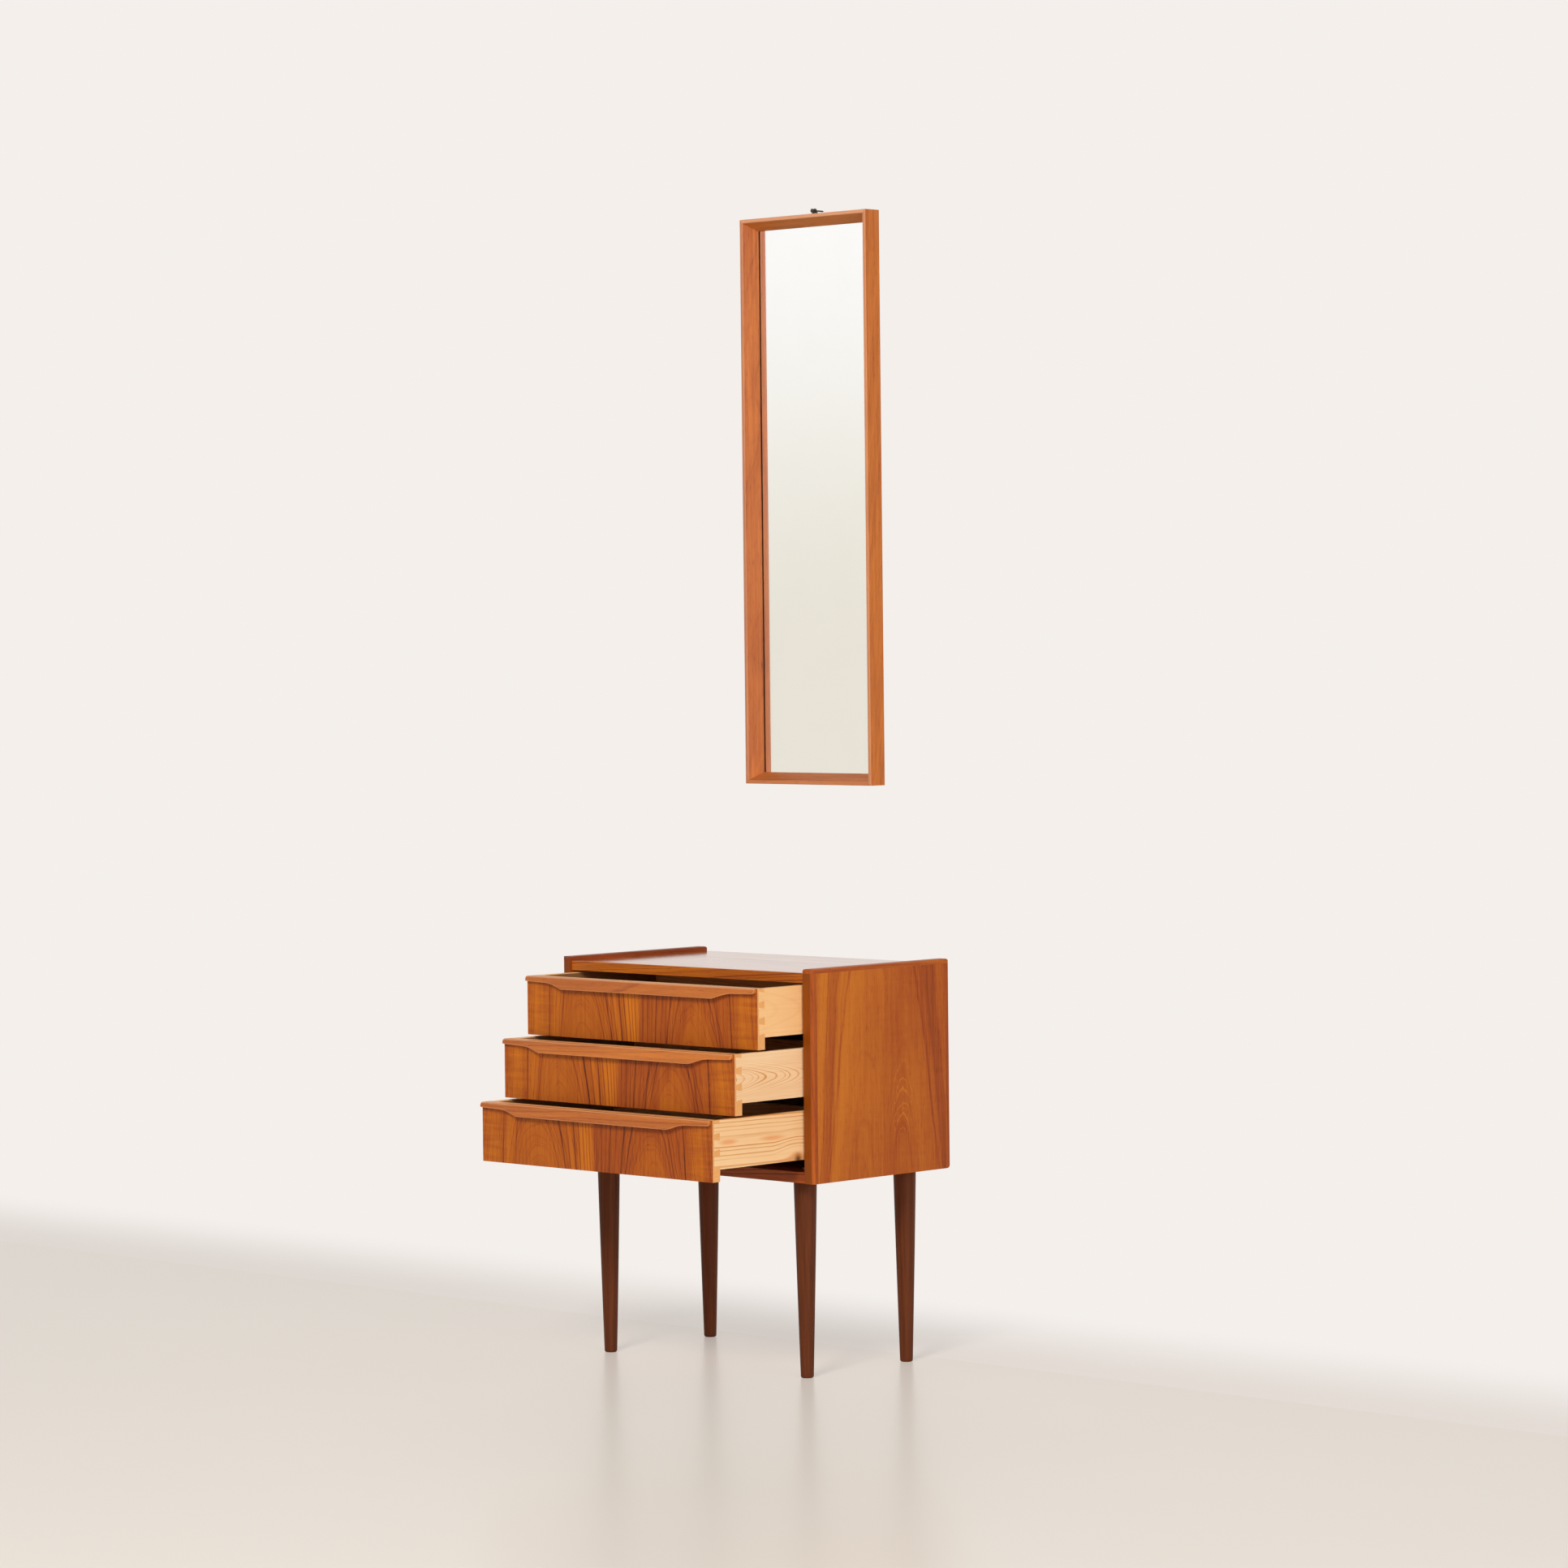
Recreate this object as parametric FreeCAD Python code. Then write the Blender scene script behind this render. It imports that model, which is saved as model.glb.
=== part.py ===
import FreeCAD, Part
import math
import os

# Hall chest of three drawers on four turned legs, with a framed wall mirror above it.
# X runs along the front of the chest, Y from the front to the wall, Z up from the floor.
# Every length is in millimetres. The drawers stand part open, as the object is shown.

# Case
case_width = 522.0
case_depth = 292.0
case_height = 311.0
case_front_y = -62.0
side_thickness = 18.0
side_chamfer = 4.0
front_lipping = 10.0
top_lipping = 6.5
back_lipping = 7.0
lipping_round = 3.0
lipping_bevel = 2.0
heel_round = 5.0
top_thickness = 14.0
base_thickness = 16.0
shelf_setback = 3.0
edge_strip = 8.0
back_thickness = 4.0
back_inset = 4.0

# Legs and their threaded studs
leg_length = 289.0
leg_top_diameter = 34.0
leg_foot_diameter = 19.0
foot_ease_width = 2.6
foot_ease_height = 3.2
leg_inset_x = 55.0
leg_inset_y = 39.5
stud_diameter = 8.0
stud_in_leg = 32.0
stud_proud = 2.0
nut_diameter = 12.0
nut_length = 11.0
bore_gap = 0.1

# Drawers, listed from the top one down
drawer_names = ("top", "middle", "bottom")
drawer_open = (92.0, 140.0, 186.0)
front_gap = 3.0
base_gap = 1.5
side_play = 3.0
rear_room = 10.0
front_thickness = 16.0
facing_thickness = 1.5
front_drop = 17.5
drawer_side_thickness = 10.0
drawer_side_round = 2.0
drawer_back_thickness = 10.0
drawer_back_inset = 4.0
drawer_back_housing = 4.0
drawer_back_lower = 3.0
drawer_bottom_thickness = 4.0
bottom_rise = 6.0
groove_depth = 5.0
glue_gap = 0.1

# Lapped dovetails between drawer fronts and sides
tail_count = 3
tail_lap = 4.5
tail_slope = 1.0 / 6.0
pin_width = 7.5

# Lip pulls along the tops of the drawer fronts
lip_inset = 1.0
lip_end_height = 6.5
lip_neck_height = 8.5
lip_middle_height = 17.0
lip_top_reach = 4.7
lip_foot_reach = 11.0
lip_shoulder_start = 38.0
lip_shoulder_end = 82.0
lip_neck_handle = 20.0
lip_foot_handle = 15.0
lip_foot_rise = 3.8
lip_plan_round = 4.0
lip_top_round = 2.0
lip_foot_round = 1.2
lip_end_round = 2.5
lip_wall = 4.0
finger_height = 8.0
finger_round = 3.0

# Runners under the drawer sides
runner_width = 16.0
runner_height = 14.0
runner_setback = 1.0
slide_gap = 0.3

# Wall mirror
mirror_width = 262.0
mirror_height = 860.0
mirror_depth = 32.0
mirror_bottom = 855.0
wall_gap = 8.0
rim_width = 5.0
rim_round = 0.8
splay = 12.0
glass_depth = 24.0
glass_thickness = 3.0
glass_cover = 6.0
glass_play = 0.5
board_thickness = 2.5
frame_back_round = 2.0
tack_length = 14.0
tack_width = 6.0
tack_thickness = 0.6
tack_bite = 7.0
tacks_per_long_rail = 4
tacks_per_short_rail = 1

# Hanger and wall nail
nail_rise = 7.0
nail_diameter = 2.5
nail_head_diameter = 6.0
nail_head_thickness = 1.0
nail_reach = 9.0
nail_in_wall = 18.0
nail_point = 4.0
nail_clearance = 0.3
hanger_thickness = 1.5
hanger_eye_wall = 2.0
hanger_half_width = 10.0
hanger_drop = 18.0
hanger_corner = 2.0
hanger_pocket = 3.2
hanger_pocket_gap = 0.3
hanger_screw_spacing = 12.0
hanger_screw_diameter = 2.5
hanger_screw_head = 5.0
hanger_screw_head_height = 1.2
hanger_screw_length = 9.0

# Derived places of the case
case_base = leg_length
case_top = case_base + case_height
half_case = case_width / 2
half_inside = half_case - side_thickness
case_back_y = case_front_y + case_depth
shelf_front_y = case_front_y + shelf_setback
back_rear_y = case_back_y - back_inset
back_front_y = back_rear_y - back_thickness
top_upper = case_top - top_lipping
top_under = top_upper - top_thickness
base_upper = case_base + base_thickness

# Derived places of the drawers
drawer_count = len(drawer_names)
front_height = (top_under - base_upper - base_gap - front_gap * drawer_count) / drawer_count
drawer_pitch = front_height + front_gap
half_drawer = half_inside - side_play
half_drawer_inside = half_drawer - drawer_side_thickness
drawer_length = back_front_y - rear_room - case_front_y
drawer_side_height = front_height - front_drop
tail_length = front_thickness - tail_lap

# Derived places of the mirror
wall_y = case_back_y + wall_gap
mirror_front_y = wall_y - mirror_depth
mirror_top = mirror_bottom + mirror_height
rail_width = rim_width + splay
rebate_width = rail_width - glass_cover
nail_z = mirror_top + nail_rise

LENGTH_PAST = 1.0


def point(plane, u, v, w):
    """A point from two coordinates in a plane and one across it."""
    if plane == "xy":
        return FreeCAD.Vector(u, v, w)
    if plane == "xz":
        return FreeCAD.Vector(u, w, v)
    return FreeCAD.Vector(w, u, v)


def across(plane, length):
    """The vector that crosses a plane by a length."""
    return point(plane, 0, 0, length)


def rounded_edges(corners, plane, at):
    """Lines, and arcs at the corners that carry a radius, round a closed outline of (u, v[, radius])."""
    starts, ends, arcs = [], [], []
    count = len(corners)
    for i, corner in enumerate(corners):
        here = FreeCAD.Vector(corner[0], corner[1], 0)
        radius = corner[2] if len(corner) > 2 else 0.0
        if radius <= 0:
            starts.append(here)
            ends.append(here)
            arcs.append(None)
            continue
        before = FreeCAD.Vector(corners[i - 1][0], corners[i - 1][1], 0) - here
        after = FreeCAD.Vector(corners[(i + 1) % count][0], corners[(i + 1) % count][1], 0) - here
        before.normalize()
        after.normalize()
        half = before.getAngle(after) / 2
        bisector = before + after
        bisector.normalize()
        middle = here + bisector * (radius / math.sin(half) - radius)
        starts.append(here + before * (radius / math.tan(half)))
        ends.append(here + after * (radius / math.tan(half)))
        arcs.append(middle)
    edges = []
    for i in range(count):
        first = point(plane, starts[i].x, starts[i].y, at)
        last = point(plane, ends[i].x, ends[i].y, at)
        following = point(plane, starts[(i + 1) % count].x, starts[(i + 1) % count].y, at)
        if arcs[i] is not None:
            edges.append(Part.Arc(first, point(plane, arcs[i].x, arcs[i].y, at), last).toShape())
        if (following - last).Length > 1e-6:
            edges.append(Part.LineSegment(last, following).toShape())
    return edges


def sheet(corners, plane, at):
    """The flat face inside an outline."""
    return Part.Face(Part.Wire(rounded_edges(corners, plane, at)))


def slab(corners, plane, at, length):
    """An outline in a plane, carried across it from one place by a length."""
    return sheet(corners, plane, at).extrude(across(plane, length))


def block(x0, x1, y0, y1, z0, z1):
    """A box between two places on each axis."""
    return Part.makeBox(x1 - x0, y1 - y0, z1 - z0, FreeCAD.Vector(x0, y0, z0))


def rod(diameter, start, end):
    """A round bar between two points."""
    line = end - start
    return Part.makeCylinder(diameter / 2, line.Length, start, line)


def other_side(shape):
    """The same piece on the other side of the chest's middle plane."""
    return shape.mirror(FreeCAD.Vector(0, 0, 0), FreeCAD.Vector(1, 0, 0))


def cut_all(shape, tools):
    """A shape with a list of tools cut from it."""
    return shape.cut(Part.makeCompound(tools))


pieces = {}


def add_pair(name, right):
    """A piece of the right-hand side and its opposite."""
    pieces[name + "_right"] = right
    pieces[name + "_left"] = other_side(right)


# Sides: a veneered board with solid lippings in front, behind and along the top
board_front_y = case_front_y + front_lipping
board_back_y = case_back_y - back_lipping
board_top = case_top - top_lipping
side_board = block(half_inside, half_case, board_front_y, board_back_y, case_base, board_top)
add_pair("side_panel", side_board)

front_strip_corners = [
    (half_inside, case_front_y),
    (half_case - side_chamfer, case_front_y),
    (half_case, case_front_y + side_chamfer),
    (half_case, board_front_y),
    (half_inside, board_front_y),
]
add_pair("side_front_lipping", slab(front_strip_corners, "xy", case_base, board_top - case_base))

back_strip_corners = [
    (board_back_y, case_base),
    (case_back_y, case_base, heel_round),
    (case_back_y, board_top),
    (board_back_y, board_top),
]
add_pair("side_back_lipping", slab(back_strip_corners, "yz", half_inside, side_thickness))

# The top lipping is arched across, bevelled at the front end and rounded at the back end
arch = slab([
    (half_inside, board_top),
    (half_case, board_top),
    (half_case, case_top, lipping_round),
    (half_inside, case_top, lipping_round),
], "xz", case_front_y, case_depth)
profile = slab([
    (case_front_y, board_top),
    (case_back_y, board_top),
    (case_back_y, case_top, lipping_round),
    (case_front_y + lipping_bevel, case_top),
    (case_front_y, case_top - lipping_bevel),
], "yz", half_inside, side_thickness)
plan = slab([
    (half_inside, case_front_y),
    (half_case - side_chamfer, case_front_y),
    (half_case, case_front_y + side_chamfer),
    (half_case, case_back_y),
    (half_inside, case_back_y),
], "xy", board_top, top_lipping)
add_pair("side_top_lipping", arch.common(profile).common(plan))

# Top, base and back between the sides
strip_back_y = shelf_front_y + edge_strip
pieces["top_panel"] = block(-half_inside, half_inside, strip_back_y, back_rear_y, top_under, top_upper)
pieces["top_edge_strip"] = block(-half_inside, half_inside, shelf_front_y, strip_back_y,
                                 top_under, top_upper)
pieces["base_edge_strip"] = block(-half_inside, half_inside, shelf_front_y, strip_back_y,
                                  case_base, base_upper)
pieces["back_panel"] = block(-half_inside, half_inside, back_front_y, back_rear_y, case_base, top_under)

# Legs: turned tapers with a rounded foot, each drawn up by a stud to a nut in the base
leg_x = half_case - leg_inset_x
leg_places = {
    "leg_front_left": (-leg_x, case_front_y + leg_inset_y),
    "leg_front_right": (leg_x, case_front_y + leg_inset_y),
    "leg_back_left": (-leg_x, case_back_y - leg_inset_y),
    "leg_back_right": (leg_x, case_back_y - leg_inset_y),
}
stud_bottom = case_base - stud_in_leg
stud_top = base_upper + stud_proud
base_bores, studs, nuts = [], [], []
foot_radius = leg_foot_diameter / 2
knee_radius = foot_radius + (leg_top_diameter / 2 - foot_radius) * foot_ease_height / leg_length
leg_top_radius = leg_top_diameter / 2


def leg_outline():
    """Half of the leg's section: a flat sole, an eased foot and a long straight taper."""
    corners = [
        (0, 0),
        (foot_radius - foot_ease_width, 0),
        (foot_radius - foot_ease_width / 4, foot_ease_height / 3),
        (knee_radius, foot_ease_height),
        (leg_top_radius, leg_length),
        (0, leg_length),
        (0, 0),
    ]
    return Part.Face(Part.makePolygon([FreeCAD.Vector(radius, 0, z) for radius, z in corners]))


leg_profile = leg_outline()
for name, (x, y) in leg_places.items():
    foot = FreeCAD.Vector(x, y, 0)
    up = FreeCAD.Vector(0, 0, 1)
    low, high = foot + up * stud_bottom, foot + up * stud_top
    bore = rod(stud_diameter + 2 * bore_gap, low - up * bore_gap, high + up * LENGTH_PAST)
    turned = leg_profile.revolve(FreeCAD.Vector(0, 0, 0), up, 360)
    turned.translate(foot)
    pieces[name] = turned.cut(bore)
    studs.append(rod(stud_diameter, low, high))
    nut_high = foot + up * base_upper
    nuts.append(rod(nut_diameter, nut_high - up * nut_length, nut_high).cut(bore))
    base_bores.append(rod(nut_diameter + 2 * bore_gap, foot + up * case_base, nut_high))
base_board = block(-half_inside, half_inside, strip_back_y, back_front_y, case_base, base_upper)
pieces["base_panel"] = cut_all(base_board, base_bores)
pieces["leg_studs"] = Part.makeCompound(studs)
pieces["leg_nuts"] = Part.makeCompound(nuts)



def drawer_base(index):
    """Height of a drawer front's lower edge, counted from the top one."""
    return top_under - front_gap - front_height - index * drawer_pitch


# Runners: battens glued to the insides of the case, one under each drawer side
runner_front_y = case_front_y + front_thickness + runner_setback
for index, drawer in enumerate(drawer_names):
    runner_upper = drawer_base(index) + front_drop - slide_gap
    add_pair("runner_" + drawer, block(half_inside - runner_width, half_inside, runner_front_y, back_front_y,
                                       runner_upper - runner_height, runner_upper))


def tail_corners(index, grown):
    """Outline of a dovetail, seen from the drawer's side, with its narrow end on the shoulder."""
    pitch = drawer_side_height / tail_count
    centre = front_drop + pitch * (index + 0.5)
    tip_half = (pitch - pin_width) / 2 + grown
    root_half = tip_half - tail_length * tail_slope
    return [
        (tail_lap - grown, centre - tip_half),
        (tail_lap - grown, centre + tip_half),
        (front_thickness, centre + root_half),
        (front_thickness, centre - root_half),
    ]


def tails(grown):
    """The row of dovetails at the front of the right-hand drawer side."""
    return [slab(tail_corners(i, grown), "yz", half_drawer_inside, drawer_side_thickness)
            for i in range(tail_count)]


bottom_low = front_drop + bottom_rise
bottom_high = bottom_low + drawer_bottom_thickness
back_board_rear = drawer_length - drawer_back_inset
back_board_front = back_board_rear - drawer_back_thickness
back_board_top = front_height - drawer_back_lower
groove_back_y = front_thickness - groove_depth


def drawer_side():
    """The right-hand side: a board with an eased top, tails in front, a groove and a housing behind."""
    board = slab([
        (half_drawer_inside, front_drop),
        (half_drawer, front_drop),
        (half_drawer, front_height, drawer_side_round),
        (half_drawer_inside, front_height, drawer_side_round),
    ], "xz", front_thickness, drawer_length - front_thickness)
    board = board.fuse(tails(0.0)).removeSplitter()
    groove = block(half_drawer_inside - LENGTH_PAST, half_drawer_inside + groove_depth,
                   front_thickness, drawer_length + LENGTH_PAST,
                   bottom_low - glue_gap, bottom_high + glue_gap)
    housing = block(half_drawer_inside - LENGTH_PAST, half_drawer_inside + drawer_back_housing,
                    back_board_front - glue_gap, back_board_rear + glue_gap,
                    bottom_high, front_height + LENGTH_PAST)
    return cut_all(board, [groove, housing])


def drawer_front():
    """The core of the front, with sockets for the tails and a groove for the bottom."""
    core = block(-half_drawer, half_drawer, facing_thickness, front_thickness, 0, front_height)
    sockets = [socket.fuse(other_side(socket)) for socket in tails(glue_gap)]
    groove = block(-half_drawer_inside, half_drawer_inside, groove_back_y, front_thickness + LENGTH_PAST,
                   bottom_low - glue_gap, bottom_high + glue_gap)
    return cut_all(core, sockets + [groove])


def drawer_bottom():
    """The bottom sheet, with its front corners notched to clear the dovetails."""
    wide = half_drawer_inside + groove_depth - glue_gap
    narrow = half_drawer_inside - glue_gap
    shoulder = front_thickness + glue_gap
    return slab([
        (-narrow, groove_back_y + glue_gap),
        (narrow, groove_back_y + glue_gap),
        (narrow, shoulder),
        (wide, shoulder),
        (wide, back_board_rear),
        (-wide, back_board_rear),
        (-wide, shoulder),
        (-narrow, shoulder),
    ], "xy", bottom_low, drawer_bottom_thickness)


def drawer_back():
    """The back board, housed in both sides and standing on the bottom."""
    half = half_drawer_inside + drawer_back_housing - glue_gap
    return block(-half, half, back_board_front, back_board_rear, bottom_high, back_board_top)


def lip_outline(half_length):
    """Front view of the lip: shallow at the ends, sweeping down to a deep middle."""
    start = half_length - lip_shoulder_start
    end = half_length - lip_shoulder_end
    tip = front_height - lip_end_height
    neck = front_height - lip_neck_height
    deep = front_height - lip_middle_height
    lean = lip_end_round * (1 - math.sqrt(0.5))

    def at(x, z):
        return FreeCAD.Vector(x, 0, z)

    def line(x0, z0, x1, z1):
        return Part.LineSegment(at(x0, z0), at(x1, z1)).toShape()

    def half(sign):
        """The end, the rounded corner, the neck and the sweep on one side."""
        side = sign * half_length
        corner = Part.Arc(at(side, tip + lip_end_round), at(side - sign * lean, tip + lean),
                          at(side - sign * lip_end_round, tip)).toShape()
        sweep = Part.BezierCurve()
        sweep.setPoles([at(sign * start, neck), at(sign * (start - lip_neck_handle), neck),
                        at(sign * (end + lip_foot_handle), deep + lip_foot_rise), at(sign * end, deep)])
        return [line(side, front_height, side, tip + lip_end_round), corner,
                line(side - sign * lip_end_round, tip, sign * start, neck), sweep.toShape()]

    edges = half(1) + half(-1)
    edges += [line(-half_length, front_height, half_length, front_height), line(-end, deep, end, deep)]
    return Part.Face(Part.Wire(Part.__sortEdges__(edges)))


def drawer_lip():
    """The pull: a strip whose face leans out to its foot, with a hollow behind it for the fingers."""
    half_length = half_drawer - lip_inset
    deep = front_height - lip_middle_height
    shape = lip_outline(half_length).extrude(FreeCAD.Vector(0, -lip_foot_reach, 0))
    section = slab([
        (0, front_height),
        (0, deep),
        (-lip_foot_reach, deep, lip_foot_round),
        (-lip_top_reach, front_height, lip_top_round),
    ], "yz", -half_length, 2 * half_length)
    plan_view = slab([
        (-half_length, 0),
        (half_length, 0),
        (half_length, -lip_foot_reach, lip_plan_round),
        (-half_length, -lip_foot_reach, lip_plan_round),
    ], "xy", deep, lip_middle_height)
    hollow_half = half_length - lip_shoulder_end
    hollow = slab([
        (LENGTH_PAST, deep - LENGTH_PAST),
        (lip_wall - lip_foot_reach, deep - LENGTH_PAST),
        (lip_wall - lip_foot_reach, deep + finger_height, finger_round),
        (LENGTH_PAST, deep + finger_height),
    ], "yz", -hollow_half, 2 * hollow_half)
    return shape.common(section).common(plan_view).cut(hollow)


drawer_parts = {
    "front": drawer_front(),
    "facing": block(-half_drawer, half_drawer, 0, facing_thickness, 0, front_height),
    "lip": drawer_lip(),
    "side_right": drawer_side(),
    "side_left": other_side(drawer_side()),
    "back": drawer_back(),
    "bottom": drawer_bottom(),
}
for index, drawer in enumerate(drawer_names):
    place = FreeCAD.Vector(0, case_front_y - drawer_open[index], drawer_base(index))
    for part_name, shape in drawer_parts.items():
        copy = shape.copy()
        copy.translate(place)
        pieces[f"drawer_{drawer}_{part_name}"] = copy

# Mirror frame: splayed rails, mitred at the corners, with a rebate behind for glass and board
half_mirror = mirror_width / 2
rebate_y = mirror_front_y + glass_depth
rail_section = [
    (0, mirror_front_y, rim_round),
    (rim_width, mirror_front_y, rim_round),
    (rail_width, rebate_y),
    (rebate_width, rebate_y),
    (rebate_width, wall_y),
    (0, wall_y, frame_back_round),
]


def mitred(rail, corners):
    """A rail cut at both ends by the mitres of its front view."""
    return rail.common(slab(corners, "xz", mirror_front_y, mirror_depth))


upright = slab([(half_mirror - inward, y, *rounding) for inward, y, *rounding in rail_section],
               "xy", mirror_bottom, mirror_height)
upright = mitred(upright, [
    (half_mirror, mirror_bottom),
    (half_mirror, mirror_top),
    (half_mirror - rail_width, mirror_top - rail_width),
    (half_mirror - rail_width, mirror_bottom + rail_width),
])
cross_rail = slab([(y, mirror_top - inward, *rounding) for inward, y, *rounding in rail_section],
                  "yz", -half_mirror, mirror_width)
cross_rail = mitred(cross_rail, [
    (-half_mirror, mirror_top),
    (half_mirror, mirror_top),
    (half_mirror - rail_width, mirror_top - rail_width),
    (rail_width - half_mirror, mirror_top - rail_width),
])
middle_height = FreeCAD.Vector(0, 0, mirror_bottom + mirror_height / 2)
lower_rail = cross_rail.mirror(middle_height, FreeCAD.Vector(0, 0, 1))

# Flat tacks lie on the board's back and are driven sideways into the rails
board_rear_y = rebate_y + glass_thickness + board_thickness
wall_of_rebate_x = half_mirror - rebate_width
wall_of_rebate_z = mirror_bottom + rebate_width


def tacks(grown):
    """The tacks round the frame, or the slots that they are driven into, which are wider all round."""
    half = tack_width / 2 + grown
    low_y = board_rear_y - grown
    high_y = board_rear_y + tack_thickness + grown
    outer = tack_bite + grown
    inner = tack_length - tack_bite
    made = []
    for i in range(tacks_per_long_rail):
        z = mirror_bottom + mirror_height * (i + 0.5) / tacks_per_long_rail
        tack = block(wall_of_rebate_x - inner, wall_of_rebate_x + outer, low_y, high_y, z - half, z + half)
        made += [tack, other_side(tack)]
    for i in range(tacks_per_short_rail):
        x = mirror_width * (i + 0.5) / tacks_per_short_rail - half_mirror
        made.append(block(x - half, x + half, low_y, high_y,
                          wall_of_rebate_z - outer, wall_of_rebate_z + inner))
    return made


tack_slots = tacks(bore_gap)

# Hanger: a flat plate let into the back of the top rail, with an eye that stands above it
eye_radius = nail_diameter / 2 + nail_clearance
eye_outer = eye_radius + hanger_eye_wall
plate_front_y = wall_y - hanger_pocket
plate_low = nail_z - hanger_drop
shoulder_z = mirror_top - hanger_pocket
nail_axis = FreeCAD.Vector(0, 0, nail_z)
back_way = FreeCAD.Vector(0, 1, 0)

plate = slab([
    (-hanger_half_width, plate_low, hanger_corner),
    (hanger_half_width, plate_low, hanger_corner),
    (hanger_half_width, shoulder_z),
    (eye_outer, nail_z),
    (-eye_outer, nail_z),
    (-hanger_half_width, shoulder_z),
], "xz", plate_front_y, hanger_thickness)
eye_base = nail_axis + back_way * plate_front_y
plate = plate.fuse(Part.makeCylinder(eye_outer, hanger_thickness, eye_base, back_way)).removeSplitter()
eye_bore = Part.makeCylinder(eye_radius, mirror_depth, nail_axis + back_way * mirror_front_y, back_way)

screw_z = (plate_low + shoulder_z) / 2
screw_face_y = plate_front_y + hanger_thickness
hanger_screws, hanger_bores = [], []
for x in (-hanger_screw_spacing / 2, hanger_screw_spacing / 2):
    face = FreeCAD.Vector(x, screw_face_y, screw_z)
    tip = face - back_way * hanger_screw_length
    shank = rod(hanger_screw_diameter, tip, face)
    head = rod(hanger_screw_head, face, face + back_way * hanger_screw_head_height)
    hanger_screws.append(shank.fuse(head).removeSplitter())
    hanger_bores.append(rod(hanger_screw_diameter + 2 * bore_gap, tip - back_way * bore_gap, face + back_way))
pocket = block(-hanger_half_width - hanger_pocket_gap, hanger_half_width + hanger_pocket_gap,
               plate_front_y, wall_y + LENGTH_PAST, plate_low - hanger_pocket_gap, mirror_top + LENGTH_PAST)

pieces["mirror_rail_right"] = cut_all(upright, tack_slots)
pieces["mirror_rail_left"] = cut_all(other_side(upright), tack_slots)
pieces["mirror_rail_top"] = cut_all(cross_rail, [pocket] + hanger_bores)
pieces["mirror_rail_bottom"] = cut_all(lower_rail, tack_slots)
pieces["mirror_hanger"] = cut_all(plate, [eye_bore] + hanger_bores)
pieces["mirror_hanger_screws"] = Part.makeCompound(hanger_screws)
pieces["mirror_backing_tacks"] = Part.makeCompound(tacks(0.0))

pane_x = wall_of_rebate_x - glass_play
pane_low = mirror_bottom + rebate_width + glass_play
pane_high = mirror_top - rebate_width - glass_play
glass_back_y = rebate_y + glass_thickness
pieces["mirror_glass"] = block(-pane_x, pane_x, rebate_y, glass_back_y, pane_low, pane_high)
pieces["mirror_backing"] = block(-pane_x, pane_x, glass_back_y, board_rear_y, pane_low, pane_high)

# Wall nail: turned about its axis, from the head in front of the hanger to the point in the wall
nail_face_y = wall_y - nail_reach
nail_neck_y = nail_face_y + nail_head_thickness
nail_tip_y = wall_y + nail_in_wall
nail_profile = sheet([
    (0, nail_face_y),
    (nail_head_diameter / 2, nail_face_y),
    (nail_head_diameter / 2, nail_neck_y),
    (nail_diameter / 2, nail_neck_y),
    (nail_diameter / 2, nail_tip_y - nail_point),
    (0, nail_tip_y),
], "xy", 0)
nail = nail_profile.revolve(FreeCAD.Vector(0, 0, 0), back_way, 360)
nail.translate(nail_axis)
pieces["wall_nail"] = nail

os.makedirs("parts", exist_ok=True)
for name, shape in pieces.items():
    shape.exportStep(f"parts/{name}.step")
print(len(pieces), "pieces")
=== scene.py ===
import math
from functools import partial
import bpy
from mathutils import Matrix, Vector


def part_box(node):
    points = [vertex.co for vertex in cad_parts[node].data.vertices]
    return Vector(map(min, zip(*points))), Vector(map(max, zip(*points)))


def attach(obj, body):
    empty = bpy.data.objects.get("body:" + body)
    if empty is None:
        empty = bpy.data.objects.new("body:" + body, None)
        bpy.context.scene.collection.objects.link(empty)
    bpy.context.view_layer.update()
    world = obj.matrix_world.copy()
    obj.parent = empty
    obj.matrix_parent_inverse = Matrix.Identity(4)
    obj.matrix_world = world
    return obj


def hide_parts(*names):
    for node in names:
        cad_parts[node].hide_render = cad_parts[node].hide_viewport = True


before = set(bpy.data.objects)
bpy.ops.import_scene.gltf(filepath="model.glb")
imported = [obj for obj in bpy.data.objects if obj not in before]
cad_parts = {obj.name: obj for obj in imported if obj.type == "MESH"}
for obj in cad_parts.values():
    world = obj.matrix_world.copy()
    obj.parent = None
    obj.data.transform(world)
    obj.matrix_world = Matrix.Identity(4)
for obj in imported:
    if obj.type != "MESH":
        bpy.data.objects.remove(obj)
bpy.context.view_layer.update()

from types import SimpleNamespace

import bpy
import numpy as np
from bpy.props import FloatProperty, FloatVectorProperty, PointerProperty
from mathutils import Matrix, Vector

bl_info = {
    "name": "Hall chest with mirror",
    "version": (1, 0, 0),
    "blender": (4, 5, 0),
    "location": "View3D > Sidebar > Hall chest",
    "description": "Dresses a teak hall chest and its wall mirror with woods, glass, metal and a stage",
    "category": "Object",
}

MM = 0.001
DRAWERS = ("top", "middle", "bottom")
SIDES = ("left", "right")

# How a board's grain lies: turns that bring X across the grain, Y into the board and Z along it
UPRIGHT_FRONT = (0.0, 0.0, 0.0)
UPRIGHT_SIDE = (0.0, 0.0, -math.pi / 2)
LONG_FRONT = (0.0, -math.pi / 2, 0.0)
LONG_TOP = (-math.pi / 2, -math.pi / 2, 0.0)
DEEP_SIDE = (math.pi / 2, 0.0, math.pi / 2)

# Settings of the nodes that fade smoothly and of those that mix colours
SMOOTH = {"interpolation_type": "SMOOTHSTEP"}
COLOURS = {"data_type": "RGBA", "out": 2}
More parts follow.
